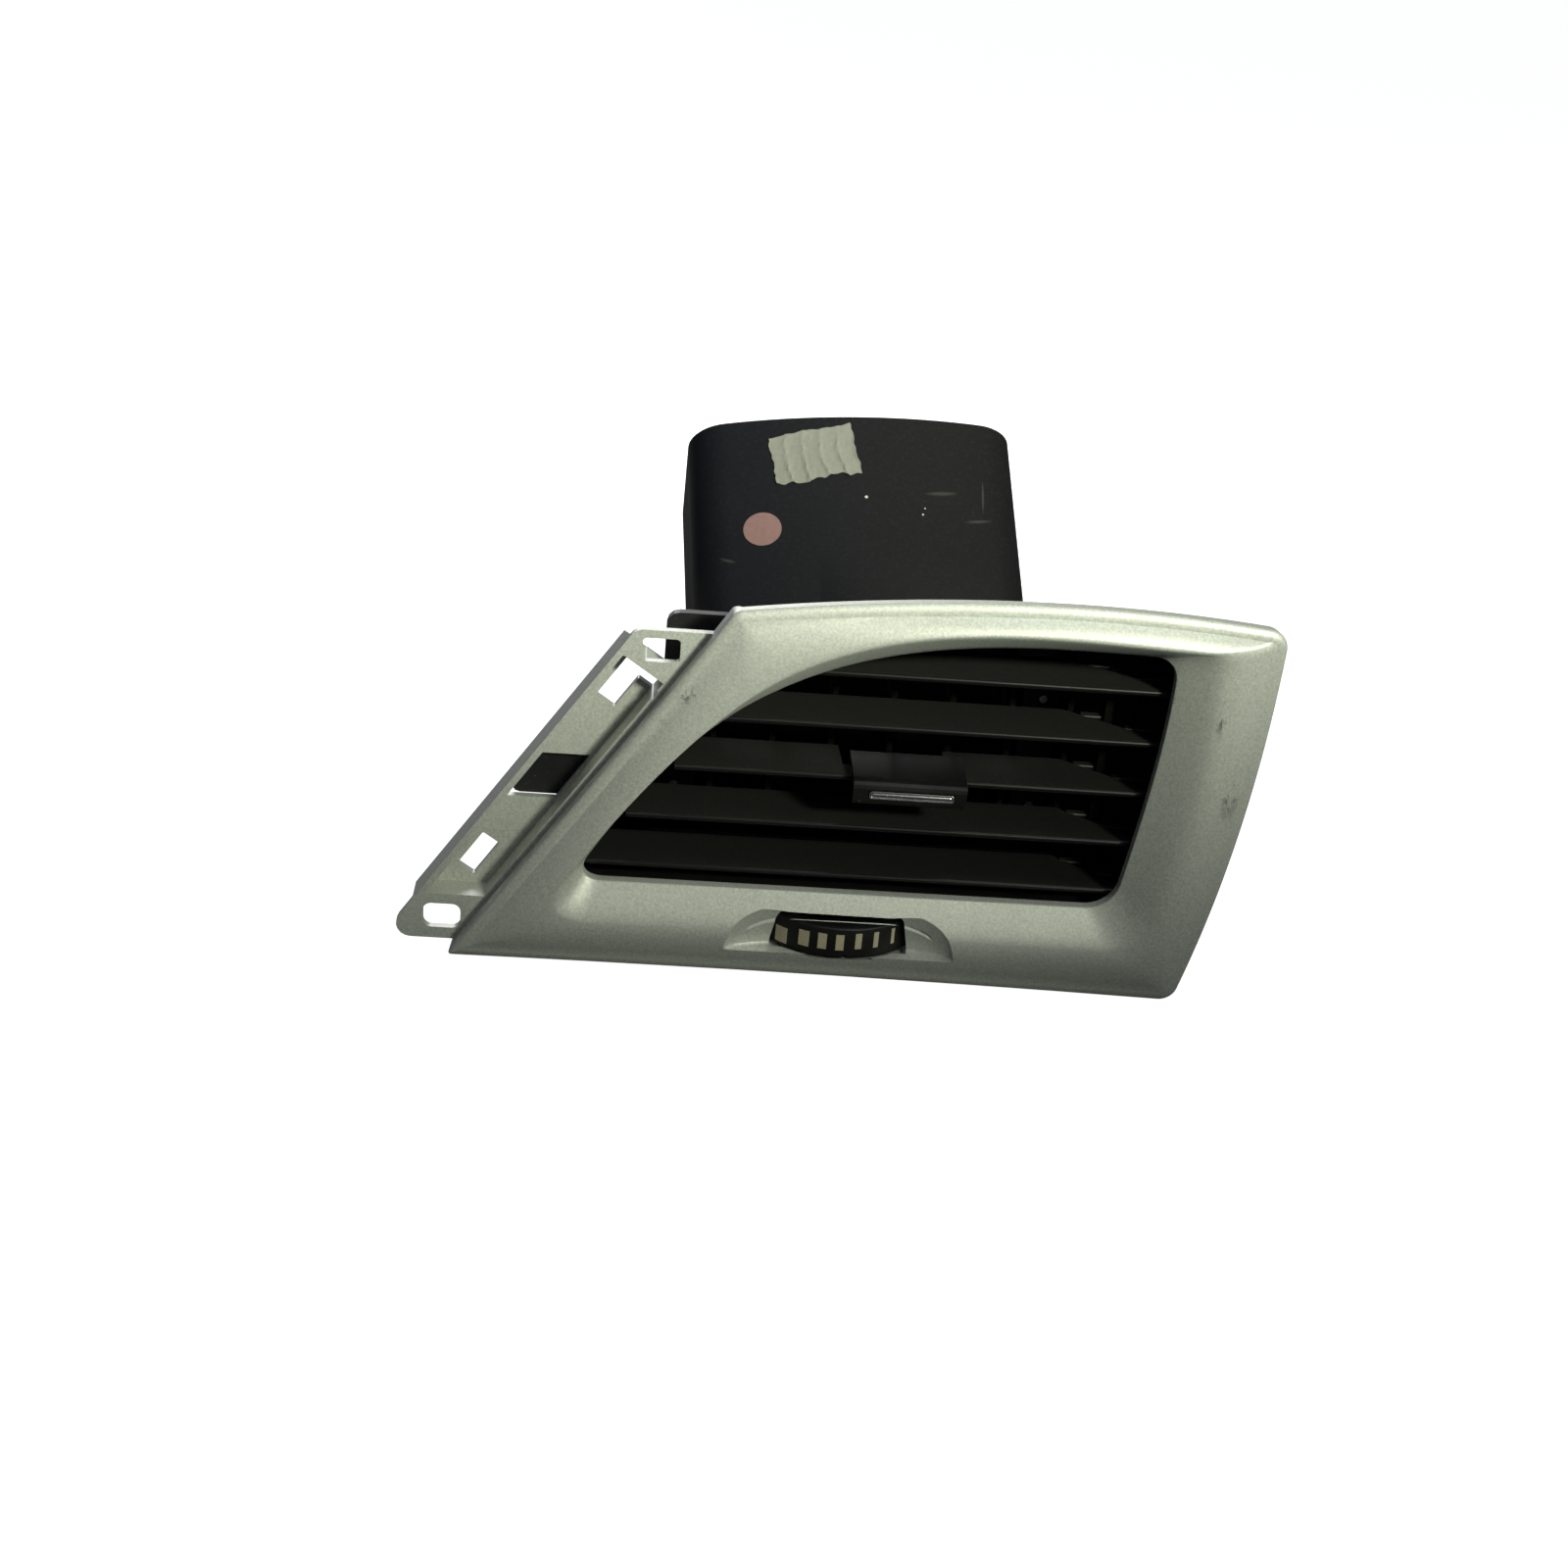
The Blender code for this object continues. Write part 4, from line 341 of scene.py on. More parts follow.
def louvre_plastic(name, colour):
    """Satin plastic with fine dust on the faces that look up."""
    paint = Paint(name)
    grain = paint.noise(1800.0, 3.0)
    dust = paint.spread(paint.noise(1300.0, 3.0, 0.75), 0.50, 0.66)
    facing = paint.parts(paint.add("ShaderNodeNewGeometry").outputs["Normal"])["Z"]
    dust = paint.maths("MULTIPLY", dust, paint.spread(facing, 0.90, 0.99, 0.06, 1.0))
    tone = paint.mix(dust, colour, (0.016, 0.0135, 0.009))
    paint.look(Base_Color=tone, Roughness=paint.spread(facing, 0.80, 0.97, 0.30, 0.80))
    paint.look(Specular_IOR_Level=0.45)
    paint.bump(grain, 0.25, 0.00003)
    return paint.material


def bright_metal(name, colour, rough, depth):
    paint = Paint(name)
    streak = paint.noise(1500.0, 3.0)
    tone = paint.dappled(streak, colour, 0.86, 0.35, 0.7)
    paint.look(Base_Color=tone, Roughness=paint.spread(streak, 0.3, 0.7, rough, rough + 0.08))
    paint.look(Metallic=1.0)
    paint.bump(streak, 0.10, depth)
    return paint.material


def foam_sheet():
    paint = Paint("seal foam")
    cells = paint.add("ShaderNodeTexVoronoi")
    paint.link(paint.place, cells.inputs["Vector"])
    cells.inputs["Scale"].default_value = 1400.0
    tone = paint.mix(cells.outputs["Distance"], (0.020, 0.020, 0.021), (0.055, 0.055, 0.055))
    paint.look(Base_Color=tone, Roughness=0.95)
    paint.bump(cells.outputs["Distance"], 0.6, 0.0002)
    return paint.material


def dress(nodes, material):
    for name in nodes:
        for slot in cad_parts[name].material_slots:
            slot.material = material


# Mesh helpers
WELD = 0.000001
SHARP_ANGLE = math.radians(32.0)


def object_from(name, bm):
    mesh = bpy.data.meshes.new(name)
    bm.to_mesh(mesh)
    bm.free()
    return bpy.data.objects.new(name, mesh)


def piece_from(name, bm, material, body):
    """Finishes a mesh as a piece that rides on a body."""
    bmesh.ops.remove_doubles(bm, verts=bm.verts, dist=WELD)
    bmesh.ops.recalc_face_normals(bm, faces=bm.faces)
    piece = object_from(name, bm)
    piece.data.shade_smooth()
    piece.data.set_sharp_from_angle(angle=SHARP_ANGLE)
    piece.data.materials.append(material)
    bpy.context.scene.collection.objects.link(piece)
    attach(piece, body)
    return piece


def replacement(name, bm, material, body):
    """Makes a finer mesh stand for the frame's node of the same name."""
    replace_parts(piece_from(f"{name}_skin", bm, material, body), name)


# Outlines of the bezel and duct, as in the frame, with finer steps
Corner = namedtuple("Corner", "x z heading_in heading_out setback")
SIDE_STEPS = 40
CORNER_STEPS = 12


def heading(angle):
    return Vector((math.cos(math.radians(angle)), math.sin(math.radians(angle))))


def shape(points, bows, setbacks):
    """Four corners, clockwise from the lower left, joined by bowed sides."""
    chords = []
    for here, there in zip(points, points[1:] + points[:1]):
        chords.append(math.degrees(math.atan2(there[1] - here[1], there[0] - here[0])))
    corners = []
    for k, (x, z) in enumerate(points):
        arriving = chords[k - 1] + bows[k - 1][1]
        corners.append(Corner(x, z, arriving, chords[k] + bows[k][0], setbacks[k]))
    return corners


def shifted(corners, shifts):
    return [(c.x + dx, c.z + dz) for c, (dx, dz) in zip(corners, shifts)]


def inset(corners, distance):
    """The same shape moved inward; a negative distance moves it outward."""
    smallest = 0.0004
    result = []
    for c in corners:
        normals = []
        for angle in (c.heading_in, c.heading_out):
            along = heading(angle)
            normals.append(Vector((along.y, -along.x)))
        first, second = normals
        middle = (first + second).normalized()
        reach = distance / middle.dot(first)
        half_turn = math.acos(max(-1.0, min(1.0, first.dot(second)))) / 2
        setback = max(c.setback - distance * math.tan(half_turn), smallest)
        result.append(Corner(c.x + middle.x * reach, c.z + middle.y * reach,
                             c.heading_in, c.heading_out, setback))
    return result


def turned_by(start, goal, share):
    """An angle part of the way from start to goal, the short way round."""
    return start + ((goal - start + 180) % 360 - 180) * share


def between(first, second, share):
    mixed = []
    for a, b in zip(first, second):
        x, z, setback = (u + (v - u) * share for u, v in zip((a.x, a.z, a.setback),
                                                             (b.x, b.z, b.setback)))
        mixed.append(Corner(x, z, turned_by(a.heading_in, b.heading_in, share),
                            turned_by(a.heading_out, b.heading_out, share), setback))
    return mixed


def curve_points(start, first, second, end, steps):
    curve = interpolate_bezier(start, first, second, end, steps + 1)
    return [Vector(p[:2]) for p in curve[:-1]]


def outline_points(corners):
    """Points round the shape, each corner as a short curve and each side as a long one."""
    round_handle = 0.58
    points = []
    for k, c in enumerate(corners):
        following = corners[(k + 1) % len(corners)]
        apex = Vector((c.x, c.z))
        arrive = apex - heading(c.heading_in) * c.setback
        leave = apex + heading(c.heading_out) * c.setback
        first = arrive + heading(c.heading_in) * c.setback * round_handle
        second = leave - heading(c.heading_out) * c.setback * round_handle
        points += curve_points(arrive, first, second, leave, CORNER_STEPS)
        ahead = Vector((following.x, following.z))
        goal = ahead - heading(following.heading_in) * following.setback
        reach = (goal - leave).length / 3
        first = leave + heading(c.heading_out) * reach
        second = goal - heading(following.heading_in) * reach
        points += curve_points(leave, first, second, goal, SIDE_STEPS)
    return points


def corner_values(pairs):
    """Values that run along the outline points, given where each corner starts and ends."""
    values = []
    for k, (start, end) in enumerate(pairs):
        goal = pairs[(k + 1) % len(pairs)][0]
        values += [start + (end - start) * i / CORNER_STEPS for i in range(CORNER_STEPS)]
        values += [end + (goal - end) * i / SIDE_STEPS for i in range(SIDE_STEPS)]
    return values


def ring(corners, depth):
    points = outline_points(corners)
    depths = depth if isinstance(depth, list) else [depth] * len(points)
    return [Vector((p.x, y, p.y)) for p, y in zip(points, depths)]


def band(bm, low, high):
    """Faces between two matching closed rows of points."""
    for i in range(len(low)):
        j = (i + 1) % len(low)
        bm.faces.new((low[i], low[j], high[j], high[i]))


def loft(rings, closed):
    """Skin over matching rings, returning to the first ring or capped at both ends."""
    bm = bmesh.new()
    rows = [[bm.verts.new(p) for p in points] for points in rings]
    pairs = list(zip(rows, rows[1:]))
    if closed:
        pairs.append((rows[-1], rows[0]))
    else:
        bm.faces.new(rows[0])
        bm.faces.new(rows[-1])
    for here, there in pairs:
        band(bm, here, there)
    bmesh.ops.recalc_face_normals(bm, faces=bm.faces)
    return bm


def rounded(points, radii, steps=6):
    """A flat outline with each corner rounded by its own radius."""
    outline = []
    for k, radius in enumerate(radii):
        here = Vector(points[k])
        if radius <= 0:
            outline.append(here)
            continue
        back = (Vector(points[k - 1]) - here).normalized()
        ahead = (Vector(points[(k + 1) % len(points)]) - here).normalized()
        half = back.angle(ahead) / 2
        centre = here + (back + ahead).normalized() * radius / math.sin(half)
        first = here + back * radius / math.tan(half) - centre
        last = here + ahead * radius / math.tan(half) - centre
        sweep = first.angle_signed(last)
        for i in range(steps + 1):
            outline.append(centre + Matrix.Rotation(-sweep * i / steps, 2) @ first)
    return outline


def slab(outline, low, high):
    """A solid seen from the front as the outline and as deep as low to high along Y."""
    return loft([[Vector((p[0], low, p[1])) for p in outline],
                 [Vector((p[0], high, p[1])) for p in outline]], closed=False)


def rods(spans, radius, sides=24):
    bm = bmesh.new()
    for start, end in spans:
        start, end = Vector(start), Vector(end)
        turn = (end - start).to_track_quat("Z", "Y").to_matrix().to_4x4()
        bmesh.ops.create_cone(bm, cap_ends=True, segments=sides, radius1=radius, radius2=radius,
                              depth=(end - start).length,
                              matrix=Matrix.Translation((start + end) / 2) @ turn)
    return bm


def joined(first, second):
    """Both meshes in one."""
    spare = bpy.data.meshes.new("spare")
    second.to_mesh(spare)
    second.free()
    first.from_mesh(spare)
    bpy.data.meshes.remove(spare)
    return first


def points_mesh(points):
    bm = bmesh.new()
    for p in points:
        bm.verts.new(p)
    return bm


def carved(name, bm, steps):
    """The mesh after a list of joins and cuts, as a new bmesh."""
    base = object_from(name, bm)
    bpy.context.scene.collection.objects.link(base)
    helpers = []
    for k, (operation, tool) in enumerate(steps):
        helper = object_from(f"{name}_tool_{k}", tool)
        bpy.context.scene.collection.objects.link(helper)
        modifier = base.modifiers.new(f"step_{k}", "BOOLEAN")
        modifier.operation = operation
        modifier.solver = "EXACT"
        modifier.object = helper
        helpers.append(helper)
    shown = base.evaluated_get(bpy.context.evaluated_depsgraph_get())
    result = bmesh.new()
    result.from_mesh(shown.to_mesh())
    for thing in helpers + [base]:
        mesh = thing.data
        bpy.data.objects.remove(thing)
        bpy.data.meshes.remove(mesh)
    return result


def soften(bm, width):
    """Rounds the hard outer edges by a small width."""
    least_angle = math.radians(50.0)
    sliver, flat_angle = 0.00002, math.radians(0.3)
    bmesh.ops.remove_doubles(bm, verts=bm.verts, dist=sliver)
    bmesh.ops.dissolve_limit(bm, angle_limit=flat_angle, verts=bm.verts, edges=bm.edges)
    hard = []
    for edge in bm.edges:
        if len(edge.link_faces) == 2 and edge.is_convex and edge.calc_face_angle() > least_angle:
            hard.append(edge)
    bmesh.ops.bevel(bm, geom=hard, offset=width, offset_type="OFFSET", segments=2, profile=0.5,
                    affect="EDGES", clamp_overlap=True)


# Bezel
def bezel_outline():
    left, base, lean = -0.1068, -0.0011, 0.0686
    top = base + 0.1047
    points = [(left, base), (left + lean, top - 0.0039), (left + lean + 0.1379, top),
              (left + 0.1926, base - 0.0017)]
    return shape(points, ((0.0, 1.7), (6.9, -7.6), (6.4, -7.6), (-1.0, 1.0)),
                 (0.0015, 0.0016, 0.0050, 0.0038))


OUTLINE = bezel_outline()
OPENING = shape(
    shifted(OUTLINE, ((0.0314, 0.0231), (0.0131, -0.0205), (-0.0260, -0.0097), (-0.0192, 0.0251))),
    ((10.3, -15.7), (17.5, -9.5), (5.2, -3.3), (-0.1, 0.0)), (0.0082, 0.0070, 0.0065, 0.0075))
RIDGE = shape(
    shifted(OUTLINE, ((0.0218, 0.0134), (0.0087, -0.0177), (-0.0161, -0.0059), (-0.0113, 0.0152))),
    ((5.0, -8.9), (22.0, -9.9), (7.6, -6.4), (-1.0, 0.0)), (0.0140, 0.0080, 0.0040, 0.0100))
BEZEL_WALL = 0.0024
RIDGE_DEPTH = -0.0193
OPENING_DEPTH = -0.0130
EDGE_DEPTH = -0.0148
EDGE_WIDTH = 0.0030
FLANGE_FRONT = -0.0102
FLANGE_THICKNESS = 0.0022
FLANGE_WIDTH = 0.0152
FLANGE_FOOT = 0.0009
FLANGE_TOP = 0.0914
TROUGH_RIDGE = 0.0009
TROUGH_INNER_WALL = 0.0021
TROUGH_OUTER_WALL = 0.0017
TROUGH_BOTTOM = 0.0140
TROUGH_END = 0.0940
CLIP_WINDOW_HEIGHTS = (0.0398, 0.0526)
CLIP_WINDOW_REACH = (0.0013, 0.0131)
FLANGE_OVERLAP = 0.0021
FLANGE_CORNERS = (0.0, 0.0038, 0.0042, 0.0)
TROUGH_MARGIN = 0.0022
TROUGH_FLOOR = -0.0022
HOLE_PAST = 0.0010
BOSS_RADIUS = 0.0034
BOSS_BORE = 0.0015
BEZEL_SOFT_EDGE = 0.00022
# Share of the way from the opening over the ridge to the outline, at each ring of the face
FACE_STEPS = (0.10, 0.25, 0.40, 0.52, 0.62, 0.71, 0.79, 0.86, 0.92, 0.96, 1.0, 1.03, 1.07, 1.12,
              1.18, 1.25, 1.34, 1.45, 1.58, 1.72, 1.86, 2.0)
SCREW_PLACES = shifted(
    OUTLINE, ((0.0268, 0.0096), (0.0022, -0.0107), (-0.0152, -0.0156), (-0.0198, 0.0113)))


# How softly the ridge rolls at each corner of the outline, where it starts and where it ends
RIDGE_ROLLS = ((0.0016, 0.0005), (0.0003, 0.0003), (0.0004, 0.0012), (0.0016, 0.0016))


def face_depths(share):
    """Depths of the face: a slope from the opening up to the ridge, then a slow fall."""
    crest = RIDGE_DEPTH - 0.0002
    slope = OPENING_DEPTH + (crest - OPENING_DEPTH) * share
    outward = max(0.0, share - 1.0)
    flat = crest + 0.0010 * (share - 1.0) + 0.0022 * outward ** 2
    middle, half = (slope + flat) / 2, (slope - flat) / 2
    return [middle + math.sqrt(half * half + roll * roll) for roll in corner_values(RIDGE_ROLLS)]


def face_ring(share):
    """A ring of the face: nought at the opening, one at the ridge, two at the outline."""
    if share <= 1.0:
        return ring(between(OPENING, RIDGE, share), face_depths(share))
    return ring(between(RIDGE, inset(OUTLINE, EDGE_WIDTH), share - 1.0), face_depths(share))


def bezel_shell():
    skirt = inset(OUTLINE, 0.0004)
    flange_rear = FLANGE_FRONT + FLANGE_THICKNESS * 0.8
    top_rear = -0.0115
    rear = corner_values(((0.0, flange_rear), (flange_rear, top_rear), (top_rear, top_rear),
                          (0.0, 0.0)))
    lip_rear = OPENING_DEPTH + 0.0030
    lip_back = inset(OPENING, -BEZEL_WALL)
    lip_round = 0.0005
    rings = [ring(OPENING, lip_rear), ring(OPENING, OPENING_DEPTH + lip_round)]
    for turn in (22.5, 45.0, 67.5):
        angle = math.radians(turn)
        reach = lip_round * (1 - math.cos(angle))
        depth = OPENING_DEPTH + lip_round * (1 - math.sin(angle))
        rings.append(ring(inset(OPENING, -reach), depth))
    rings += [face_ring(share) for share in FACE_STEPS]
    front = face_depths(FACE_STEPS[-1])
    edge_steps = 8
    for i in range(1, edge_steps):
        angle = math.radians(90.0 * i / edge_steps)
        side = EDGE_WIDTH * (1 - math.sin(angle))
        depths = [EDGE_DEPTH + (y - EDGE_DEPTH) * math.cos(angle) for y in front]
        rings.append(ring(inset(OUTLINE, side), depths))
    rings += [
        ring(OUTLINE, EDGE_DEPTH), ring(skirt, rear), ring(inset(skirt, BEZEL_WALL), rear),
        ring(inset(OUTLINE, BEZEL_WALL), EDGE_DEPTH + 0.0016),
        ring(between(RIDGE, OUTLINE, 0.50), RIDGE_DEPTH + 0.0018 + BEZEL_WALL),
        ring(between(RIDGE, OUTLINE, 0.02), RIDGE_DEPTH + 0.0016 + BEZEL_WALL),
        ring(lip_back, OPENING_DEPTH + 0.0011), ring(lip_back, lip_rear),
    ]
    return loft(rings, closed=True)


def flange_point(u, v):
    """A point u along the slanted side from the lower left corner and v outward from it."""
    start, end = OUTLINE[0], OUTLINE[1]
    along = Vector((end.x - start.x, end.z - start.z)).normalized()
    return Vector((start.x, start.z)) + along * u + Vector((-along.y, along.x)) * v


def flange_at_height(z, v):
    start, end = flange_point(0.0, v), flange_point(0.1, v)
    return start + (end - start) * (z - start.y) / (end.y - start.y)


def trough_outline(inner, outer, extra):
    low = TROUGH_BOTTOM - extra
    return [flange_at_height(low, inner), flange_at_height(low, outer),
            flange_point(TROUGH_END + extra, outer), flange_point(TROUGH_END + extra, inner)]


def flange_hole(points, radius):
    outline = rounded(points, (radius,) * len(points))
    return slab(outline, FLANGE_FRONT - HOLE_PAST, HOLE_PAST)


def oblong(centre, width, height):
    x, y = centre
    w, h = width / 2, height / 2
    return [(x - w, y - h), (x + w, y - h), (x + w, y + h), (x - w, y + h)]


def flange_holes():
    uppers = ((0.0785, 0.0050), (0.0785, 0.0107), (0.0915, 0.0107), (0.0915, 0.0004),
              (0.0888, 0.0004), (0.0888, 0.0050))
    lowers = ((0.0176, 0.0051), (0.0176, 0.0103), (0.0290, 0.0103), (0.0290, 0.0051))
    (low, high), (near, far) = CLIP_WINDOW_HEIGHTS, CLIP_WINDOW_REACH
    clip = [flange_at_height(low, near), flange_at_height(low, far),
            flange_at_height(high, far), flange_at_height(high, near)]
    return [
        flange_hole([flange_point(u, v) for u, v in uppers], 0.0004),
        flange_hole([flange_point(u, v) for u, v in lowers], 0.0004),
        flange_hole(clip, 0.0003),
        flange_hole(oblong((-0.0557, 0.0861), 0.0095, 0.0063), 0.0011),
        flange_hole(oblong((-0.1086, 0.0076), 0.0098, 0.0070), 0.0022),
    ]


# Thumbwheel pocket
WHEEL_X = -0.0045
WHEEL_Y = 0.0050
WHEEL_RADIUS = 0.0235
WHEEL_BOTTOM = 0.0060
WHEEL_TOP = 0.0126
GRIP_TOP = 0.0148
WHEEL_GAP = 0.0008
POCKET_HALF = 0.0306
POCKET_FLOOR = 0.0064
POCKET_HEIGHT = 0.0114
POCKET_BACK = -0.0125
POCKET_MOUTH = -0.0188
POCKET_FRONT = -0.0215
# Where the pocket's top and back start to round off towards its ends, and how squarely
POCKET_TOP_ENDS = (0.62, 2.2)
POCKET_BACK_ENDS = (0.40, 1.8)
WINDOW_HALF_TOP = 0.0164
WINDOW_HALF_LOW = 0.0186
WINDOW_CORNERS = (0.0020, 0.0020, 0.0030, 0.0030)
WINDOW_DEPTHS = (-0.0145, -0.0050)


def end_round(t, start, power):
    """One along the middle of a run from -1 to 1, rounding off to nought at both ends."""
    past = max(0.0, (abs(t) - start) / (1.0 - start))
    return max(0.0, 1.0 - past ** power) ** (1.0 / power)


def quarter_arc(centre, reach, start, steps):
    """Points of a quarter turn in depth and height."""
    points = []
    for i in range(steps + 1):
        angle = math.radians(start + 90.0 * i / steps)
        points.append((centre[0] + reach[0] * math.cos(angle),
                       centre[1] + reach[1] * math.sin(angle)))
    return points


def pocket_scoop():
    """A scoop with a straight lip below, rounded ends and a back that curves in."""
    columns = 64
    least_height = 0.0003
    rows = []
    for i in range(columns + 1):
        t = math.sin(math.radians(-90.0 + 180.0 * i / columns))
        height = max(least_height, POCKET_HEIGHT * end_round(t, *POCKET_TOP_ENDS))
        back = POCKET_MOUTH + (POCKET_BACK - POCKET_MOUTH) * end_round(t, *POCKET_BACK_ENDS)
        x = WHEEL_X + POCKET_HALF * t
        low, high = POCKET_FLOOR, POCKET_FLOOR + height
        over = min(0.0020, height * 0.4)
        under = min(0.0010, height * 0.2)
        section = [(POCKET_FRONT, low), (POCKET_FRONT, high)]
        section += quarter_arc((back - over, high - over), (over, over), 90.0, 6)[::-1]
        section += quarter_arc((back - under, low + under), (under, under), 270.0, 4)[::-1]
        rows.append([Vector((x, y, z)) for y, z in section])
    return loft(rows, closed=False)


def pocket_wall():
    """Solid behind the pocket for the scoop to be cut into, leaning back at its top."""
    half = POCKET_HALF + 0.0020
    flat = half * 0.55
    back = POCKET_BACK + 0.0020
    rings = []
    for z, seat in ((POCKET_FLOOR - 0.0020, -0.0155), (POCKET_FLOOR + 0.0040, -0.0155),
                    (POCKET_FLOOR + POCKET_HEIGHT + 0.0016, -0.0112)):
        plan = ((WHEEL_X + half, seat), (WHEEL_X + flat, back), (WHEEL_X - flat, back),
                (WHEEL_X - half, seat))
        rings.append([Vector((x, y, z)) for x, y in plan])
    return loft(rings, closed=False)


def wheel_window():
    low, high = WHEEL_BOTTOM - WHEEL_GAP, POCKET_FLOOR + POCKET_HEIGHT - 0.0003
    points = [(WHEEL_X - WINDOW_HALF_LOW, low), (WHEEL_X + WINDOW_HALF_LOW, low),
              (WHEEL_X + WINDOW_HALF_TOP, high), (WHEEL_X - WINDOW_HALF_TOP, high)]
    return slab(rounded(points, WINDOW_CORNERS), *WINDOW_DEPTHS)


def wheel_notch():
    low, high = WHEEL_BOTTOM - WHEEL_GAP, GRIP_TOP + WHEEL_GAP
    axle = ((WHEEL_X, WHEEL_Y, low), (WHEEL_X, WHEEL_Y, high))
    return rods([axle], WHEEL_RADIUS + WHEEL_GAP, 96)


def bezel_mesh():
    plate = rounded([flange_at_height(FLANGE_FOOT, -FLANGE_OVERLAP),
                     flange_at_height(FLANGE_FOOT, FLANGE_WIDTH),
                     flange_at_height(FLANGE_TOP, FLANGE_WIDTH),
                     flange_at_height(FLANGE_TOP, -FLANGE_OVERLAP)], FLANGE_CORNERS)
    block = trough_outline(-TROUGH_INNER_WALL, FLANGE_WIDTH, TROUGH_MARGIN)
    hollow = trough_outline(TROUGH_RIDGE, FLANGE_WIDTH - TROUGH_OUTER_WALL, 0.0)
    boss_front, boss_rear = RIDGE_DEPTH + BEZEL_WALL + 0.0005, 0.0007
    bore_front = -0.0110
    bosses = [((x, boss_front, z), (x, boss_rear, z)) for x, z in SCREW_PLACES]
    bores = [((x, bore_front, z), (x, HOLE_PAST, z)) for x, z in SCREW_PLACES]
    steps = [
        ("UNION", slab(plate, FLANGE_FRONT, FLANGE_FRONT + FLANGE_THICKNESS)),
        ("UNION", slab(block, FLANGE_FRONT, 0.0)),
        ("DIFFERENCE", slab(hollow, FLANGE_FRONT - HOLE_PAST, TROUGH_FLOOR)),
        ("UNION", pocket_wall()),
        ("DIFFERENCE", pocket_scoop()),
        ("DIFFERENCE", wheel_window()),
        ("DIFFERENCE", wheel_notch()),
    ]
    steps += [("DIFFERENCE", hole) for hole in flange_holes()]
    steps += [("UNION", rods(bosses, BOSS_RADIUS)), ("DIFFERENCE", rods(bores, BOSS_BORE))]
    bm = carved("bezel", bezel_shell(), steps)
    soften(bm, BEZEL_SOFT_EDGE)
    return bm


# Duct
# Place across and along the duct and radius of each speck
DUCT_SPECKS = ((0.0018, 0.0380, 0.00050), (0.0173, 0.0329, 0.00030), (0.0180, 0.0349, 0.00025))
# Place, half length and half width, and turn of each scratch
DUCT_SCRATCHES = (
    ((0.0230, 0.0400), (0.0052, 0.0005), 0.75),
    ((0.0330, 0.0320), (0.0045, 0.0004), -0.2),
    ((0.0350, 0.0400), (0.0004, 0.0060), 0.1),
    ((-0.0370, 0.0200), (0.0026, 0.0004), 0.6),
)


def duct_plastic(black):
    """Black plastic with a painted bluish reflection lightening its left side, paint specks,
    scratches and a little dust.
    """
    paint = Paint("duct plastic")
    grain = paint.noise(1100.0, 3.0)
    cloud = paint.noise(50.0, 4.0)
    across = paint.parts(paint.place)["X"]
    # Painted reflection: the duct fades from a lighter blue-black on its left to plain black on its
    # right.
    tone = paint.mix(paint.spread(across, -0.045, 0.010), (0.0060, 0.0066, 0.0100), black)
    tone = paint.mix(paint.spread(grain, 0.50, 0.72, 0.0, 0.5), tone, shade(black, 2.4))
    scratch = None
    for place, reach, turn in DUCT_SCRATCHES:
        centre = duct_face(*place, 0.0)
        zone = paint.near(centre, (reach[0], 0.0060, reach[1]), 0.6, (0.0, turn, 0.0))
        scratch = zone if scratch is None else paint.maths("MAXIMUM", scratch, zone)
    tone = paint.mix(paint.maths("MULTIPLY", scratch, 0.25), tone, (0.10, 0.10, 0.085))
    for across_at, along_at, radius in DUCT_SPECKS:
        speck = paint.near(duct_face(across_at, along_at, 0.0), (radius,) * 3, 0.3)
        tone = paint.mix(speck, tone, (0.45, 0.45, 0.42))
    paint.look(Base_Color=tone, Roughness=paint.spread(cloud, 0.3, 0.7, 0.52, 0.62))
    paint.look(Specular_IOR_Level=0.14)
    paint.bump(grain, 0.25, 0.00005)
    return paint.material


DUCT_RISE = math.radians(40.0)
DUCT_LEAN = math.radians(4.3)
DUCT_WIDTH = 0.0874
DUCT_HEIGHT = 0.0520
DUCT_CROWN = 0.0046
DUCT_WALL = 0.0022
DUCT_LENGTH = 0.0644
DUCT_X = -0.0005
DUCT_CROWN_TOP = 0.0798
DUCT_CORNER = 0.0080
DUCT_FRONT = 0.0313
DUCT_FLANGE = 0.0020
DUCT_BORDER = 0.0030
DUCT_RIM_ROUND = 0.0005
DUCT_LOBE_RADIUS = 0.0042
DUCT_SCREW_BORE = 0.0015
SHAFT_BORE = 0.0024
SHAFT_HALF_LENGTH = 0.0060
SHAFT_FROM_BEND = (0.0045, 0.0042)
BEND_STEPS = 14
Station = namedtuple("Station", "origin across up")


def duct_station(x, y, z, tilt, lean):
    up = Vector((0.0, -math.sin(tilt), math.cos(tilt)))
    flow = Vector((0.0, math.cos(tilt), math.sin(tilt)))
    across = Vector((math.cos(lean), 0.0, 0.0)) + flow * math.sin(lean)
    return Station(Vector((x, y, z)), across, up)


def duct_section(grow):
    half = DUCT_WIDTH / 2
    points = [(-half, -DUCT_HEIGHT - DUCT_CROWN), (-half, -DUCT_CROWN), (half, -DUCT_CROWN),
              (half, -DUCT_HEIGHT - DUCT_CROWN)]
    bow = math.degrees(math.asin(min(0.9, 4 * DUCT_CROWN / DUCT_WIDTH)))
    bows = ((0.0, 0.0), (bow, -bow), (0.0, 0.0), (0.0, 0.0))
    return inset(shape(points, bows, (DUCT_CORNER,) * 4), -grow)


def duct_ring(station, grow, y=None):
    points = []
    for p in outline_points(duct_section(grow)):
        place = station.origin + station.across * p.x + station.up * p.y
        if y is not None:
            place.y = y
        points.append(place)
    return points


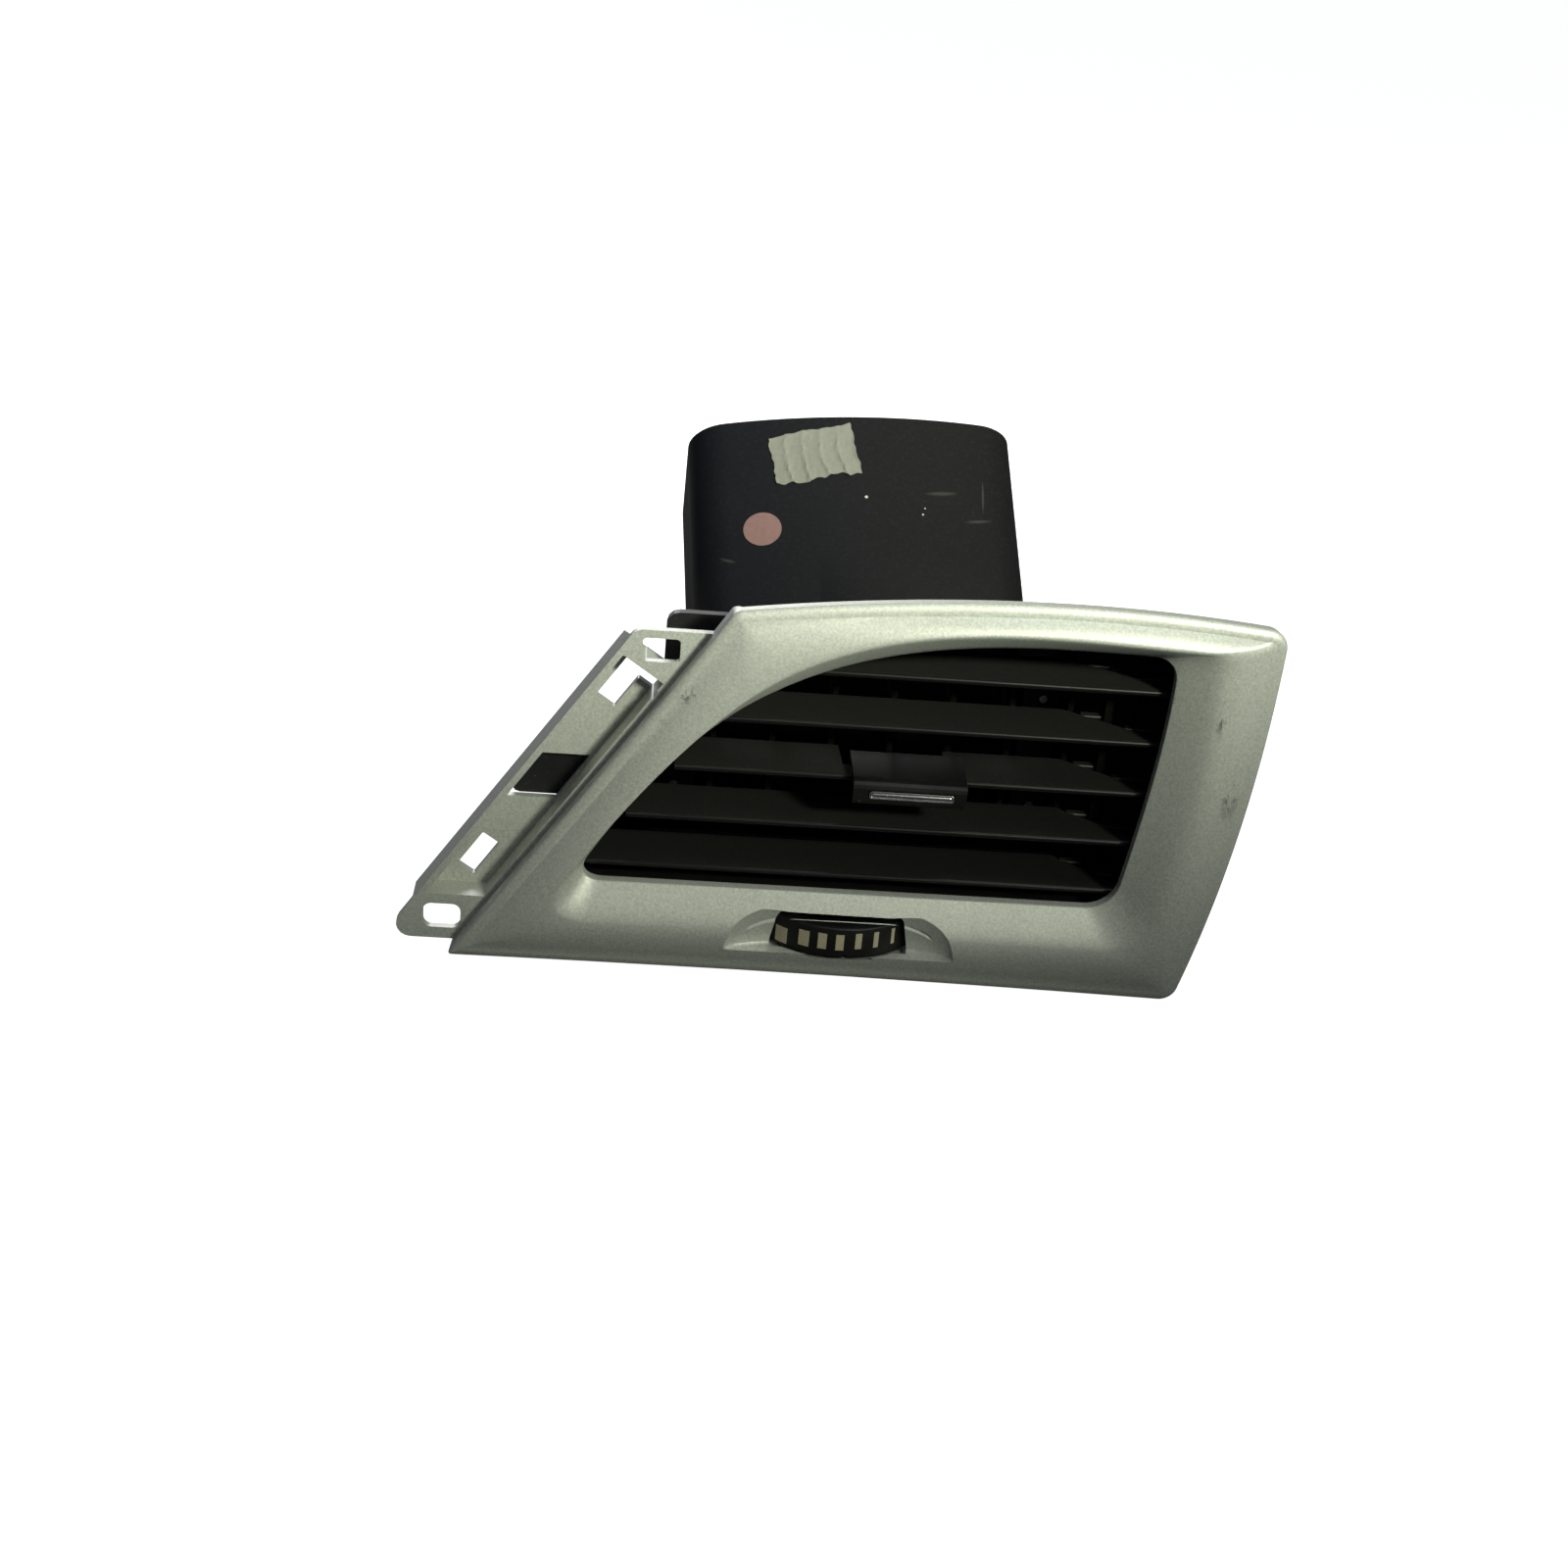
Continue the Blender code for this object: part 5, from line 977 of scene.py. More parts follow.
MOUTH = duct_station(DUCT_X, DUCT_FRONT, DUCT_CROWN_TOP - DUCT_WALL, 0.0, 0.0)
FLANGE_REAR = DUCT_FRONT + DUCT_FLANGE


def bend_stations():
    stations = []
    inner_radius = 0.0030
    for i in range(1, BEND_STEPS + 1):
        share = i / BEND_STEPS
        tilt = DUCT_RISE * share
        y = FLANGE_REAR + inner_radius * math.sin(tilt) + DUCT_WALL * math.sin(tilt)
        z = DUCT_CROWN_TOP + inner_radius * (1 - math.cos(tilt)) - DUCT_WALL * math.cos(tilt)
        stations.append(duct_station(DUCT_X, y, z, tilt, DUCT_LEAN * share))
    return stations


BEND_END = bend_stations()[-1]


def along_duct(distance):
    """Where the section stands this far up the straight duct."""
    flow = Vector((0.0, math.cos(DUCT_RISE), math.sin(DUCT_RISE)))
    axis = flow * math.cos(DUCT_LEAN) - Vector((math.sin(DUCT_LEAN), 0.0, 0.0))
    return Station(BEND_END.origin + axis * distance, BEND_END.across, BEND_END.up)


CROWN_LINE = sorted((p.x, p.y) for p in outline_points(duct_section(DUCT_WALL)) if p.y > -0.0150)


def crown_height(across):
    """Height of the duct's outer crowned face at a distance across."""
    for (x0, y0), (x1, y1) in zip(CROWN_LINE, CROWN_LINE[1:]):
        if x0 <= across <= x1:
            return y0 + (y1 - y0) * (across - x0) / max(x1 - x0, 0.0000001)
    return CROWN_LINE[0][1]


def duct_face(across, along, lift):
    """A point on the duct's upper face, lifted off it along its normal."""
    station = along_duct(along)
    rise = crown_height(across) + lift
    return station.origin + station.across * across + station.up * rise


def duct_screw_places():
    reach = DUCT_WIDTH / 2 + DUCT_WALL + 0.0033
    high = MOUTH.origin.z - DUCT_CROWN - 0.0100
    low = high - DUCT_HEIGHT + 0.0200
    return [(DUCT_X + side * reach, z) for side in (-1, 1) for z in (low, high)]


def duct_mesh():
    start = MOUTH._replace(origin=MOUTH.origin + Vector((0.0, DUCT_FLANGE, 0.0)))
    stations = [MOUTH, start] + bend_stations()
    stations += [along_duct(DUCT_LENGTH * i / 3) for i in (1, 2)]
    before_rim, rim = along_duct(DUCT_LENGTH - DUCT_RIM_ROUND), along_duct(DUCT_LENGTH)
    inner = [duct_ring(s, 0.0) for s in stations + [before_rim]]
    inner.append(duct_ring(rim, DUCT_RIM_ROUND))
    outer = [duct_ring(s, DUCT_WALL) for s in stations[1:] + [before_rim]]
    outer.append(duct_ring(rim, DUCT_WALL - DUCT_RIM_ROUND))
    border = DUCT_WALL + DUCT_BORDER
    flange = [duct_ring(MOUTH, border, FLANGE_REAR), duct_ring(MOUTH, border)]
    places = duct_screw_places()
    lobes = [((x, DUCT_FRONT + 0.0001, z), (x, FLANGE_REAR - 0.0001, z)) for x, z in places]
    holes = [((x, 0.0200, z), (x, FLANGE_REAR + 0.001, z)) for x, z in places]
    centre = BEND_END.origin - BEND_END.up * (DUCT_HEIGHT + DUCT_CROWN)
    side = BEND_END.across.normalized()
    along = BEND_END.up.cross(side)
    centre = centre + along * SHAFT_FROM_BEND[0] + BEND_END.up * SHAFT_FROM_BEND[1]
    shafts = []
    for wall in (-DUCT_WIDTH / 2, DUCT_WIDTH / 2):
        shafts.append((centre + side * (wall - SHAFT_HALF_LENGTH),
                       centre + side * (wall + SHAFT_HALF_LENGTH)))
    steps = [("UNION", rods(lobes, DUCT_LOBE_RADIUS)),
             ("DIFFERENCE", rods(holes, DUCT_SCREW_BORE)),
             ("DIFFERENCE", rods(shafts, SHAFT_BORE))]
    return carved("duct", loft(inner + outer[::-1] + flange, closed=True), steps)


class VENT_OT_finish_frame(bpy.types.Operator):
    """Gives the frame's housing, damper, slat link, vanes, knob, screws and seal their finishes"""
    bl_idname = "vent.finish_frame"
    bl_label = "Finish Frame"

    def execute(self, context):
        colours = context.scene.vent_colours
        black, louvre = tuple(colours.black), tuple(colours.louvre)
        dress(HOUSING_NODES, moulded("housing plastic", black, 0.48, 1200.0, 0.00006))
        # Painted shade: the link and vanes take the slats' plastic darkened to a fifth and a
        # quarter, as they sit deep in the dark opening.
        dress(("slat_link",), painted_shade_plastic("link plastic with painted shade", shade(louvre, 0.20)))
        dress(VANE_NODES, painted_shade_plastic("vane plastic with painted shade", shade(louvre, 0.25)))
        dress(("knob",), moulded("knob plastic", louvre, 0.30, 2200.0, 0.00002))
        dress(SCREW_NODES, bright_metal("zinc", (0.55, 0.55, 0.52), 0.30, 0.00004))
        dress(("damper_seal",), foam_sheet())
        return {"FINISHED"}


class VENT_OT_bezel(bpy.types.Operator):
    """Builds the silver bezel with its soft ridge, flange and thumbwheel pocket"""
    bl_idname = "vent.bezel"
    bl_label = "Bezel"

    def execute(self, context):
        replacement("bezel", bezel_mesh(), silver_paint(), "vent")
        return {"FINISHED"}


class VENT_OT_duct(bpy.types.Operator):
    """Builds the smooth black duct"""
    bl_idname = "vent.duct"
    bl_label = "Duct"

    def execute(self, context):
        black = tuple(context.scene.vent_colours.black)
        replacement("duct", duct_mesh(), duct_plastic(black), "vent")
        return {"FINISHED"}


# Thumbwheel and its marks
RIM_WIDTH = 0.0036
RIM_WALL = 0.0030
WHEEL_WEB = 0.0020
AXLE_BORE = 0.0030
WHEEL_HUB = 0.0052
WHEEL_PIN_ARM = 0.0123
WHEEL_PIN_TOP = 0.0154
WHEEL_SIDES = 160
GRIP_HALF_TURN = 78.75
NICK_TURN = math.radians(4.5)
NICK_RADIUS = 0.0013
WHEEL_PIN_RADIUS = 0.0018
MARK_SUNK = 0.0003
MARK_PROUD = 0.00012
# Turn in degrees, width and height above the base of each mark, from left to right
MARKS = ((-40.0, 0.0037, 0.0094), (-23.5, 0.0029, 0.0106), (-11.3, 0.0023, 0.0108),
         (0.0, 0.0021, 0.0108), (12.0, 0.0017, 0.0112), (24.0, 0.0014, 0.0112),
         (37.0, 0.0011, 0.0112))


def wheel_section(rise):
    """Radius and height round the wheel's section, its rim standing up by a rise."""
    top = WHEEL_TOP + rise
    edge = 0.0005
    inner = WHEEL_RADIUS - RIM_WIDTH
    soft = min(edge, rise * 0.4)
    web_low = WHEEL_TOP - WHEEL_WEB
    rim = WHEEL_RADIUS - RIM_WALL
    section = quarter_arc((WHEEL_RADIUS - edge, WHEEL_BOTTOM + edge), (edge, edge), 270.0, 4)
    section += quarter_arc((WHEEL_RADIUS - edge, top - edge), (edge, edge), 0.0, 4)
    section += quarter_arc((inner + soft, top - soft), (soft, soft), 90.0, 3)
    return section + [(inner, WHEEL_TOP), (AXLE_BORE, WHEEL_TOP), (AXLE_BORE, WHEEL_BOTTOM),
                      (WHEEL_HUB, WHEEL_BOTTOM), (WHEEL_HUB, web_low), (rim, web_low),
                      (rim, WHEEL_BOTTOM)]


def wheel_mesh():
    rings = []
    for i in range(WHEEL_SIDES):
        degrees = 360.0 * (i + 0.5) / WHEEL_SIDES - 180.0
        turn = math.radians(degrees)
        rise = GRIP_TOP - WHEEL_TOP if abs(degrees) < GRIP_HALF_TURN else 0.0
        rings.append([Vector((WHEEL_X + r * math.sin(turn), WHEEL_Y - r * math.cos(turn), z))
                      for r, z in wheel_section(rise)])
    nick_x = WHEEL_X + WHEEL_RADIUS * math.sin(NICK_TURN)
    nick = Vector((nick_x, WHEEL_Y - WHEEL_RADIUS, WHEEL_BOTTOM))
    ends = [nick + Vector((0.0, reach, -0.0001)) for reach in (-0.0010, 0.0022)]
    cutter = rods([ends], NICK_RADIUS, 6)
    wheel = carved("thumbwheel", loft(rings, closed=True), [("DIFFERENCE", cutter)])
    pin = WHEEL_X + WHEEL_PIN_ARM
    post = ((pin, WHEEL_Y, WHEEL_TOP - 0.0010), (pin, WHEEL_Y, WHEEL_PIN_TOP))
    return joined(wheel, rods([post], WHEEL_PIN_RADIUS))


def mark_recipe():
    """Upright plates bent round a drum, one for each seed point of turn, width and height."""
    recipe = Recipe("wheel marks")
    height, radius = recipe.size("Height"), recipe.size("Radius")
    thickness = recipe.size("Thickness")
    held = recipe.add("GeometryNodeCaptureAttribute")
    held.capture_items.new("VECTOR", "Seed")
    recipe.link(recipe.start.outputs["Geometry"], held.inputs["Geometry"])
    recipe.link(recipe.add("GeometryNodeInputPosition").outputs[0], held.inputs["Seed"])
    tile = recipe.add("GeometryNodeMeshGrid")
    for name, value in (("Size X", 1.0), ("Size Y", 1.0), ("Vertices X", 9), ("Vertices Y", 2)):
        tile.inputs[name].default_value = value
    tiles = recipe.through("GeometryNodeInstanceOnPoints", held.outputs["Geometry"], "Points",
                           Instance=tile.outputs["Mesh"])
    tiles = recipe.through("GeometryNodeRealizeInstances", tiles)
    place = recipe.parts(recipe.add("GeometryNodeInputPosition").outputs[0])
    seed = recipe.parts(held.outputs["Seed"])
    # The tiles stand on their seeds, so the seed is taken off to get the place on the tile
    across = recipe.maths("SUBTRACT", place["X"], seed["X"])
    upward = recipe.maths("SUBTRACT", place["Y"], seed["Y"])
    share = recipe.maths("DIVIDE", seed["Y"], radius)
    turn = recipe.maths("ADD", seed["X"], recipe.maths("MULTIPLY", across, share))
    x = recipe.maths("MULTIPLY", radius, recipe.maths("SINE", turn))
    y = recipe.maths("MULTIPLY", radius, recipe.maths("COSINE", turn))
    z = recipe.maths("ADD", seed["Z"], recipe.maths("MULTIPLY", upward, height))
    spot = recipe.vector(recipe.maths("ADD", WHEEL_X, x), recipe.maths("SUBTRACT", WHEEL_Y, y), z)
    base = recipe.through("GeometryNodeSetPosition", tiles, Position=spot)
    raised = recipe.through("GeometryNodeExtrudeMesh", base, "Mesh", Individual=False,
                            Offset_Scale=thickness)
    under = recipe.through("GeometryNodeFlipFaces", base, "Mesh")
    both = recipe.add("GeometryNodeJoinGeometry")
    for part in (raised, under):
        recipe.link(part, both.inputs[0])
    recipe.finish(recipe.through("GeometryNodeMergeByDistance", both.outputs[0],
                                 Distance=0.000001))
    return recipe


class VENT_OT_thumbwheel(bpy.types.Operator):
    """Builds the thumbwheel with its raised rim and the cream marks on it"""
    bl_idname = "vent.thumbwheel"
    bl_label = "Thumbwheel"

    def execute(self, context):
        sizes, colours = context.scene.vent_sizes, context.scene.vent_colours
        black = moulded("wheel plastic", tuple(colours.louvre), 0.42, 2000.0, 0.00003)
        replacement("thumbwheel", wheel_mesh(), black, "thumbwheel")
        paint = Paint("cream marks")
        speck = paint.noise(2500.0, 3.0)
        cream = tuple(colours.cream)
        tone = paint.mix(paint.spread(speck, 0.4, 0.7), shade(cream, 0.85), cream)
        paint.look(Base_Color=tone, Roughness=0.55)
        paint.bump(speck, 0.2, 0.00003)
        seeds = [(math.radians(turn), width, height) for turn, width, height in MARKS]
        marks = mark_recipe().made(points_mesh(seeds[:sizes.mark_count]), paint.material,
                                   Height=sizes.mark_height, Radius=WHEEL_RADIUS - MARK_SUNK,
                                   Thickness=MARK_SUNK + MARK_PROUD)
        piece_from("wheel_marks", marks, paint.material, "thumbwheel")
        return {"FINISHED"}


# Chrome strip of the knob, each level given by how far in it stands and how far behind the front
TRIM_LEVELS = ((0.0, 0.0001), (0.0001, 0.0), (0.00022, 0.0), (0.00032, 0.00035), (0.00042, 0.00035),
               (0.00055, 0.00018), (0.00070, 0.00008), (0.00085, 0.00002), (0.00098, 0.0))


def trim_mesh():
    """A strip with a raised frame round a long bulge."""
    low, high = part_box("knob_trim")
    middle = Vector(((low[0] + high[0]) / 2, (low[2] + high[2]) / 2))
    half = Vector(((high[0] - low[0]) / 2, (high[2] - low[2]) / 2))
    levels = [(0.0, high[1])] + [(narrower, low[1] + behind) for narrower, behind in TRIM_LEVELS]
    rings = []
    for narrower, y in levels:
        w, h = half.x - narrower, half.y - narrower
        outline = rounded(oblong(middle, 2 * w, 2 * h), (min(0.0008, h * 0.9),) * 4)
        rings.append([Vector((p[0], y, p[1])) for p in outline])
    return loft(rings, closed=False)


class VENT_OT_trim(bpy.types.Operator):
    """Builds the chrome strip in the knob"""
    bl_idname = "vent.trim"
    bl_label = "Knob Trim"

    def execute(self, context):
        chrome = bright_metal("chrome", (0.80, 0.80, 0.80), 0.20, 0.000004)
        replacement("knob_trim", trim_mesh(), chrome, "knob")
        return {"FINISHED"}


# Louvre slats
HOUSING_MOUTH = shifted(OPENING, ((-0.0086, -0.0035), (0.0031, 0.0148), (0.0028, 0.0001),
                                  (0.0039, -0.0038)))
HOUSING_WALL = 0.0022
SLAT_COUNT = 5
SLAT_LOW = OPENING[0].z + 0.0027
SLAT_PITCH = (OPENING[2].z - 0.0120 - SLAT_LOW) / (SLAT_COUNT - 1)
SLAT_FRONT = -0.0080
SLAT_DEPTH = 0.0195
SLAT_AXIS_Y = SLAT_FRONT + SLAT_DEPTH / 2
SLAT_HALF_FRONT = 0.0009
SLAT_HALF_REAR = 0.0007
SLAT_TRAVEL = math.radians(20.0)
SLAT_END_GAP = 0.0008
SLAT_PIN_RADIUS = 0.0011
SLAT_CRANK_ARM = 0.0068
SLAT_CRANK_PIN = 0.0012
LINK_NOTCH = 0.0100
LINK_THICKNESS = 0.0020
PIN_GAP = 0.0004
KNOB_NOTCH_HALF = 0.0134
KNOB_NOTCH_FRONT = SLAT_AXIS_Y - 0.0028
KNOB_NOTCH_STEEPNESS = 60.0
LINK_NOTCH_Y = SLAT_FRONT + SLAT_DEPTH - 0.0068
SLAT_TIP_Y = SLAT_FRONT + 0.0035
SLAT_STEPS = 240
LEFT_PIN_INSIDE = 0.0030
RIGHT_PIN_INSIDE = 0.0075
CRANK_INSIDE = 0.0060
VANE_LEFT = OPENING[0].x + 0.0194
VANE_RIGHT = OPENING[3].x - 0.0134
DRIVE_X = VANE_LEFT + 4 * (VANE_RIGHT - VANE_LEFT) / 7


def wall_x(first, second, z):
    (x0, z0), (x1, z1) = HOUSING_MOUTH[first], HOUSING_MOUTH[second]
    return x0 + (x1 - x0) * (z - z0) / (z1 - z0)


def slat_section():
    """Seed outline of a slat seen from its end: a round nose, flat faces and a thinner rear."""
    rear = SLAT_FRONT + SLAT_DEPTH
    nose, tail = SLAT_HALF_FRONT, SLAT_HALF_REAR
    points = quarter_arc((SLAT_FRONT + nose, 0.0), (nose, nose), 90.0, 5)
    points += quarter_arc((SLAT_FRONT + nose, 0.0), (nose, nose), 180.0, 5)[1:]
    points += quarter_arc((rear - tail, 0.0), (tail, tail), 270.0, 3)
    points += quarter_arc((rear - tail, 0.0), (tail, tail), 0.0, 3)[1:]
    bm = bmesh.new()
    corners = [bm.verts.new((-y, -z, 0.0)) for y, z in points]
    for here, there in zip(corners, corners[1:] + corners[:1]):
        bm.edges.new((here, there))
    return bm


def slat_recipe():
    """The seed outline swept from left to right, swept back at the right and notched behind."""
    recipe = Recipe("slat blade")
    left, right, height = (recipe.size(name) for name in ("Left", "Right", "Height"))
    tip, fall = recipe.size("Tip Depth"), recipe.size("Sweep Slope")
    notch, half, depth = (recipe.size(name) for name in ("Notch Place", "Notch Half",
                                                         "Notch Front"))
    section = recipe.through("GeometryNodeMeshToCurve", recipe.start.outputs["Geometry"], "Mesh")
    path = recipe.add("GeometryNodeCurvePrimitiveLine")
    recipe.link(recipe.vector(left, 0.0, height), path.inputs["Start"])
    recipe.link(recipe.vector(right, 0.0, height), path.inputs["End"])
    stations = recipe.through("GeometryNodeResampleCurve", path.outputs["Curve"], "Curve",
                              Count=recipe.size("Steps", "Int"))
    blade = recipe.through("GeometryNodeCurveToMesh", stations, "Curve", Profile_Curve=section,
                           Fill_Caps=True)
    place = recipe.parts(recipe.add("GeometryNodeInputPosition").outputs[0])
    to_go = recipe.maths("SUBTRACT", right, place["X"])
    sweep = recipe.maths("ADD", tip, recipe.maths("MULTIPLY", to_go, fall))
    off_notch = recipe.maths("ABSOLUTE", recipe.maths("SUBTRACT", place["X"], notch))
    outside = recipe.maths("MAXIMUM", recipe.maths("SUBTRACT", off_notch, half), 0.0)
    wall = recipe.maths("ADD", depth, recipe.maths("MULTIPLY", outside, KNOB_NOTCH_STEEPNESS))
    limit = recipe.maths("MINIMUM", sweep, wall)
    y = recipe.maths("MINIMUM", place["Y"], limit)
    blade = recipe.through("GeometryNodeSetPosition", blade,
                           Position=recipe.vector(place["X"], y, place["Z"]))
    recipe.finish(recipe.through("GeometryNodeMergeByDistance", blade, Distance=0.000002))
    return recipe


class VENT_OT_slats(bpy.types.Operator):
    """Builds the five louvre slats, each with its pivots and crank"""
    bl_idname = "vent.slats"
    bl_label = "Slats"

    def execute(self, context):
        louvre = tuple(context.scene.vent_colours.louvre)
        plastic = louvre_plastic("slat plastic", louvre)
        recipe = slat_recipe()
        rows = [SLAT_LOW + row * SLAT_PITCH for row in range(SLAT_COUNT)]
        link_left = min(wall_x(3, 2, rows[0]), wall_x(3, 2, rows[-1])) - LINK_NOTCH
        swing = SLAT_DEPTH / 2 * math.sin(SLAT_TRAVEL) + 2 * SLAT_HALF_FRONT
        for row, z in enumerate(rows):
            left = wall_x(0, 1, z + swing) + SLAT_END_GAP
            right = wall_x(3, 2, z - swing) - SLAT_END_GAP
            slope = (LINK_NOTCH_Y - 0.0006 - SLAT_TIP_Y) / (right - (link_left - PIN_GAP))
            middle = row == SLAT_COUNT // 2
            bm = recipe.made(slat_section(), plastic, Left=left, Right=right, Height=z,
                             Steps=SLAT_STEPS, Tip_Depth=SLAT_TIP_Y, Sweep_Slope=slope,
                             Notch_Place=DRIVE_X, Notch_Half=KNOB_NOTCH_HALF if middle else 0.0,
                             Notch_Front=KNOB_NOTCH_FRONT if middle else 0.1)
            left_wall, right_wall = wall_x(0, 1, z), wall_x(3, 2, z)
            pins = [self.level(left_wall - HOUSING_WALL * 1.1, left + LEFT_PIN_INSIDE, z),
                    self.level(right - RIGHT_PIN_INSIDE, right_wall + HOUSING_WALL * 0.8, z)]
            crank = self.level(link_left - CRANK_INSIDE, link_left + LINK_THICKNESS + PIN_GAP, z,
                               SLAT_CRANK_ARM)
            bm = joined(bm, rods(pins, SLAT_PIN_RADIUS))
            bm = joined(bm, rods([crank], SLAT_CRANK_PIN))
            name = f"slat_{SLAT_COUNT - row}"
            replacement(name, bm, plastic, name)
        return {"FINISHED"}

    def level(self, left, right, z, behind=0.0):
        """The two ends of a pin from left to right, on the slats' axis or behind it."""
        return (left, SLAT_AXIS_Y + behind, z), (right, SLAT_AXIS_Y + behind, z)


# Stickers on the duct
LABEL_CORNERS = ((-0.0244, 0.0577), (-0.0015, 0.0616), (0.0009, 0.0462), (-0.0226, 0.0425))
DOT_CENTRE = (-0.0272, 0.0288)
STICKER_THICKNESS = 0.00012
DOT_LIFTS = (0.00008, 0.00022)


def sticker_paint(name, colour, crumple):
    paint = Paint(name)
    fine = paint.noise(700.0, 4.0)
    folds_and_fold_shade = paint.noise(1.0, 3.0, 0.6, paint.moved((0.0, 0.0, 0.0), scale=(420.0, 120.0, 120.0)))
    tone = paint.dappled(fine, colour, 0.86, 0.35, 0.75)
    # Painted shade: the paper darkens towards six tenths of its colour along the folds, as if their
    # hollows lay in shade; the same folds also bump the surface.
    tone = paint.mix(paint.spread(folds_and_fold_shade, 0.55, 0.75, 0.0, 0.35), tone, shade(colour, 0.6))
    paint.look(Base_Color=tone, Roughness=0.6)
    paint.bump(folds_and_fold_shade, crumple, 0.0004)
    return paint.material


def wave(t, seed):
    """A small smooth wander between -1 and 1 that is the same on each run."""
    return (math.sin(t * 9.1 + seed) + 0.6 * math.sin(t * 23.7 + seed * 2.3)
            + 0.4 * math.sin(t * 41.3 + seed * 4.1)) / 2.0


def close_sheet(bm, lower, upper):
    """Faces over two matching grids of points and round their edges."""
    for grid in (lower, upper):
        for a, b in zip(grid, grid[1:]):
            for j in range(len(a) - 1):
                bm.faces.new((a[j], a[j + 1], b[j + 1], b[j]))
    rims = []
    for grid in (lower, upper):
        rim = [row[0] for row in grid] + grid[-1][1:] + [row[-1] for row in grid[-2::-1]]
        rims.append(rim + grid[0][-2:0:-1])
    band(bm, *rims)


def crumpled(u, v, lift):
    """A point of the paper, u across it and v down it, with ragged edges and creases."""
    left_top, right_top, right_low, left_low = (Vector(p) for p in LABEL_CORNERS)
    ragged = (0.0005 + 0.0006 * v) * wave(u, 1.7)
    scallop = 0.0006 * abs(math.sin(u * 12.0))
    low = left_low.lerp(right_low, u) + Vector((0.0, ragged - scallop))
    top = left_top.lerp(right_top, u) + Vector((0.0, 0.0004 * wave(u, 4.2)))
    place = top.lerp(low, v)
    place.x += 0.0004 * wave(v, 2.9 if u < 0.5 else 6.1)
    crease = abs(math.sin(u * 15.0 + 0.8 * math.sin(v * 3.0)))
    fold = 0.00025 + 0.00055 * (1.0 - crease) ** 3 * (0.35 + 0.65 * v)
    return duct_face(place.x, place.y, fold + lift)


class VENT_OT_stickers(bpy.types.Operator):
    """Lays the crumpled bare sticker and the round one on the duct"""
    bl_idname = "vent.stickers"
    bl_label = "Stickers"

    def execute(self, context):
        colours = context.scene.vent_colours
        self.label(sticker_paint("sticker paper", colours.paper, 0.5))
        radius = context.scene.vent_sizes.dot_diameter / 2
        self.dot(sticker_paint("round sticker", colours.dot, 0.15), radius)
        return {"FINISHED"}

    def label(self, material):
        across_steps, down_steps = 48, 30
        bm = bmesh.new()
        grids = []
        for lift in (0.0, STICKER_THICKNESS):
            grids.append([[bm.verts.new(crumpled(i / across_steps, j / down_steps, lift))
                           for j in range(down_steps + 1)] for i in range(across_steps + 1)])
        close_sheet(bm, *grids)
        piece_from("duct_sticker", bm, material, "vent")

    def dot(self, material, radius):
        bm = bmesh.new()
        rings, sides = 5, 40
        rims = []
        for lift in DOT_LIFTS:
            centre = bm.verts.new(duct_face(*DOT_CENTRE, lift))
            circles = []
            for k in range(1, rings + 1):
                reach = radius * k / rings
                circle = []
                for i in range(sides):
                    angle = math.tau * i / sides
                    across = DOT_CENTRE[0] + reach * math.cos(angle)
                    along = DOT_CENTRE[1] + reach * math.sin(angle)
                    circle.append(bm.verts.new(duct_face(across, along, lift)))
                circles.append(circle)
            rims.append(circles[-1])
            for i in range(sides):
                j = (i + 1) % sides
                bm.faces.new((centre, circles[0][i], circles[0][j]))
                for inner, outer in zip(circles, circles[1:]):
                    bm.faces.new((inner[i], outer[i], outer[j], inner[j]))
        band(bm, *rims)
        piece_from("duct_dot", bm, material, "vent")


# Floor, light and camera
CAMERA_PLACE = (-0.0603, -0.5548, 0.3061)
CAMERA_RIGHT = (0.99612, -0.03126, 0.08214)
CAMERA_UP = (-0.06105, 0.42617, 0.90258)
CAMERA_BACK = (-0.06322, -0.90410, 0.42262)
SENSOR_WIDTH = 36.0
FLOOR_HALF = 8.0
KEY_PLACE = (0.50, -0.80, 0.62)
KEY_AIM = (0.03, 0.0, 0.392)
KEY_HALF_ANGLE = 20.5
KEY_POWER = 172.0
KEY_COLOUR = (0.96, 1.0, 0.80)
KEY_RADIUS = 0.10
FLOOR_GLOW = 0.92
WORLD_LIGHT = 0.08
SKY_SEEN = 1.2
SKY_COLOUR = (0.88, 0.92, 1.0, 1.0)
MIDDLE = (0.0, 0.0, 0.05)
# Name, place, width and height, and watts of each soft lamp
LAMPS = (
    ("top light", (0.20, -0.16, 1.00), (0.25, 0.25), 1.2),
    ("side light", (1.10, -0.30, 0.70), (0.5, 0.9), 1.0),
    ("back light", (-0.25, 1.10, 0.45), (0.6, 0.6), 7.0),
)


def aimed_lamp(name, kind, place, target, power):
    """Hangs a lamp at a place, shining at a target, and gives its settings."""
    data = bpy.data.lights.new(name, kind)
    data.energy = power
    lamp = bpy.data.objects.new(name, data)
    lamp.location = place
    lamp.rotation_euler = (Vector(place) - Vector(target)).to_track_quat("Z", "Y").to_euler()
    bpy.context.scene.collection.objects.link(lamp)
    return data


